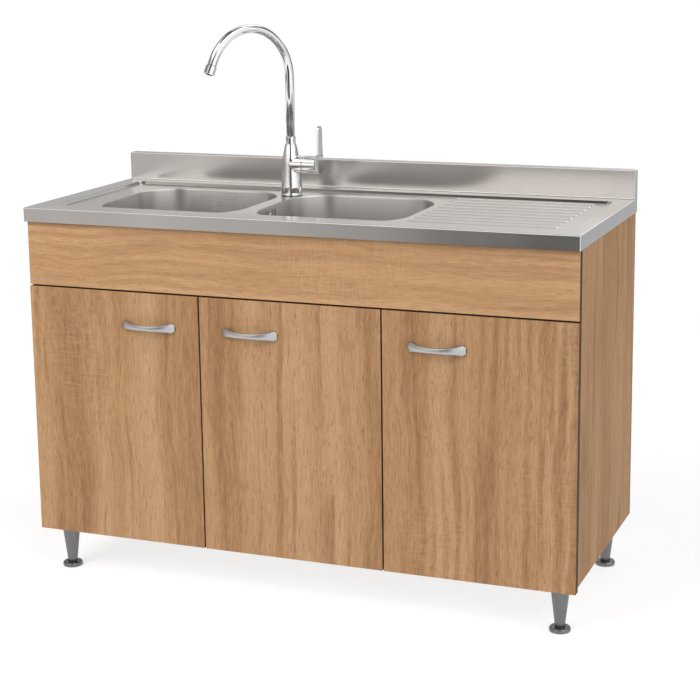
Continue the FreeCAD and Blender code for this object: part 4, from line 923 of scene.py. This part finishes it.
way = skyNode("ShaderNodeSeparateXYZ")
sky.links.new(skyNode("ShaderNodeTexCoord").outputs["Generated"], way.inputs["Vector"])
turnAround = skyNode("ShaderNodeMath", operation="ARCTAN2")
flip = skyNode("ShaderNodeMath", operation="MULTIPLY")
flip.inputs[1].default_value = -1.0
sky.links.new(way.outputs["Y"], flip.inputs[0])
sky.links.new(way.outputs["X"], turnAround.inputs[0])
sky.links.new(flip.outputs[0], turnAround.inputs[1])
aroundFac = skyNode("ShaderNodeMapRange")
aroundFac.inputs["From Min"].default_value, aroundFac.inputs["From Max"].default_value = -math.pi, math.pi
sky.links.new(turnAround.outputs[0], aroundFac.inputs["Value"])
heightFac = skyNode("ShaderNodeMapRange")
heightFac.inputs["From Min"].default_value, heightFac.inputs["From Max"].default_value = -0.10, 0.02
sky.links.new(way.outputs["Z"], heightFac.inputs["Value"])
both = skyNode("ShaderNodeMix", data_type="RGBA")
sky.links.new(heightFac.outputs["Result"], both.inputs[0])
sky.links.new(skyRamp(aroundFac.outputs["Result"], room["below"]), both.inputs[6])
sky.links.new(skyRamp(aroundFac.outputs["Result"], room["above"]), both.inputs[7])
lit = both
for ramp in (skyRamp(way.outputs["Z"], room["lifted"]), skyRamp(aroundFac.outputs["Result"], room["tint"])):
    product = skyNode("ShaderNodeMix", data_type="RGBA", blend_type="MULTIPLY")
    product.inputs[0].default_value = 1.0
    sky.links.new(lit.outputs[2], product.inputs[6])
    sky.links.new(ramp, product.inputs[7])
    lit = product
seen = skyNode("ShaderNodeMix", data_type="RGBA")
sky.links.new(skyNode("ShaderNodeLightPath").outputs["Is Camera Ray"], seen.inputs[0])
sky.links.new(lit.outputs[2], seen.inputs[6])
seen.inputs[7].default_value = studio["backdrop"]
sky.links.new(seen.outputs[2], sky.nodes["Background"].inputs["Color"])
sky.nodes["Background"].inputs["Strength"].default_value = studio["sky"]
bpy.context.scene.world = world


def softLight(name, place, size, power):
    light = bpy.data.lights.new(name, "AREA")
    light.shape = "RECTANGLE"
    light.size, light.size_y = size
    light.energy = power
    holder = bpy.data.objects.new(name, light)
    holder.location = place
    holder.rotation_euler = (Vector(studio["target"]) - Vector(place)).to_track_quat("-Z", "Y").to_euler()
    holder.visible_glossy = False
    bpy.context.scene.collection.objects.link(holder)


softLight("key_light", **studio["key"])
softLight("fill_light", **studio["fill"])

view = {
    "place": (1.3457, -3.3083, 1.345), "tilt": 78.865, "turn": 21.486, "roll": -0.72,
    "lens": 87.9, "shift": -0.10, "sensor": 36, "near": 0.1, "far": 60,
}
camera = bpy.data.cameras.new("camera")
camera.lens, camera.sensor_width, camera.shift_y = view["lens"], view["sensor"], view["shift"]
camera.clip_start, camera.clip_end = view["near"], view["far"]
holder = bpy.data.objects.new("camera", camera)
holder.location = view["place"]
turns = [Matrix.Rotation(math.radians(view[key]), 3, axis)
         for key, axis in (("turn", "Z"), ("tilt", "X"), ("roll", "Z"))]
holder.rotation_euler = (turns[0] @ turns[1] @ turns[2]).to_euler()
bpy.context.scene.collection.objects.link(holder)
bpy.context.scene.camera = holder
bpy.context.scene.view_settings.view_transform = "Standard"
print("studio ready")

putDown()
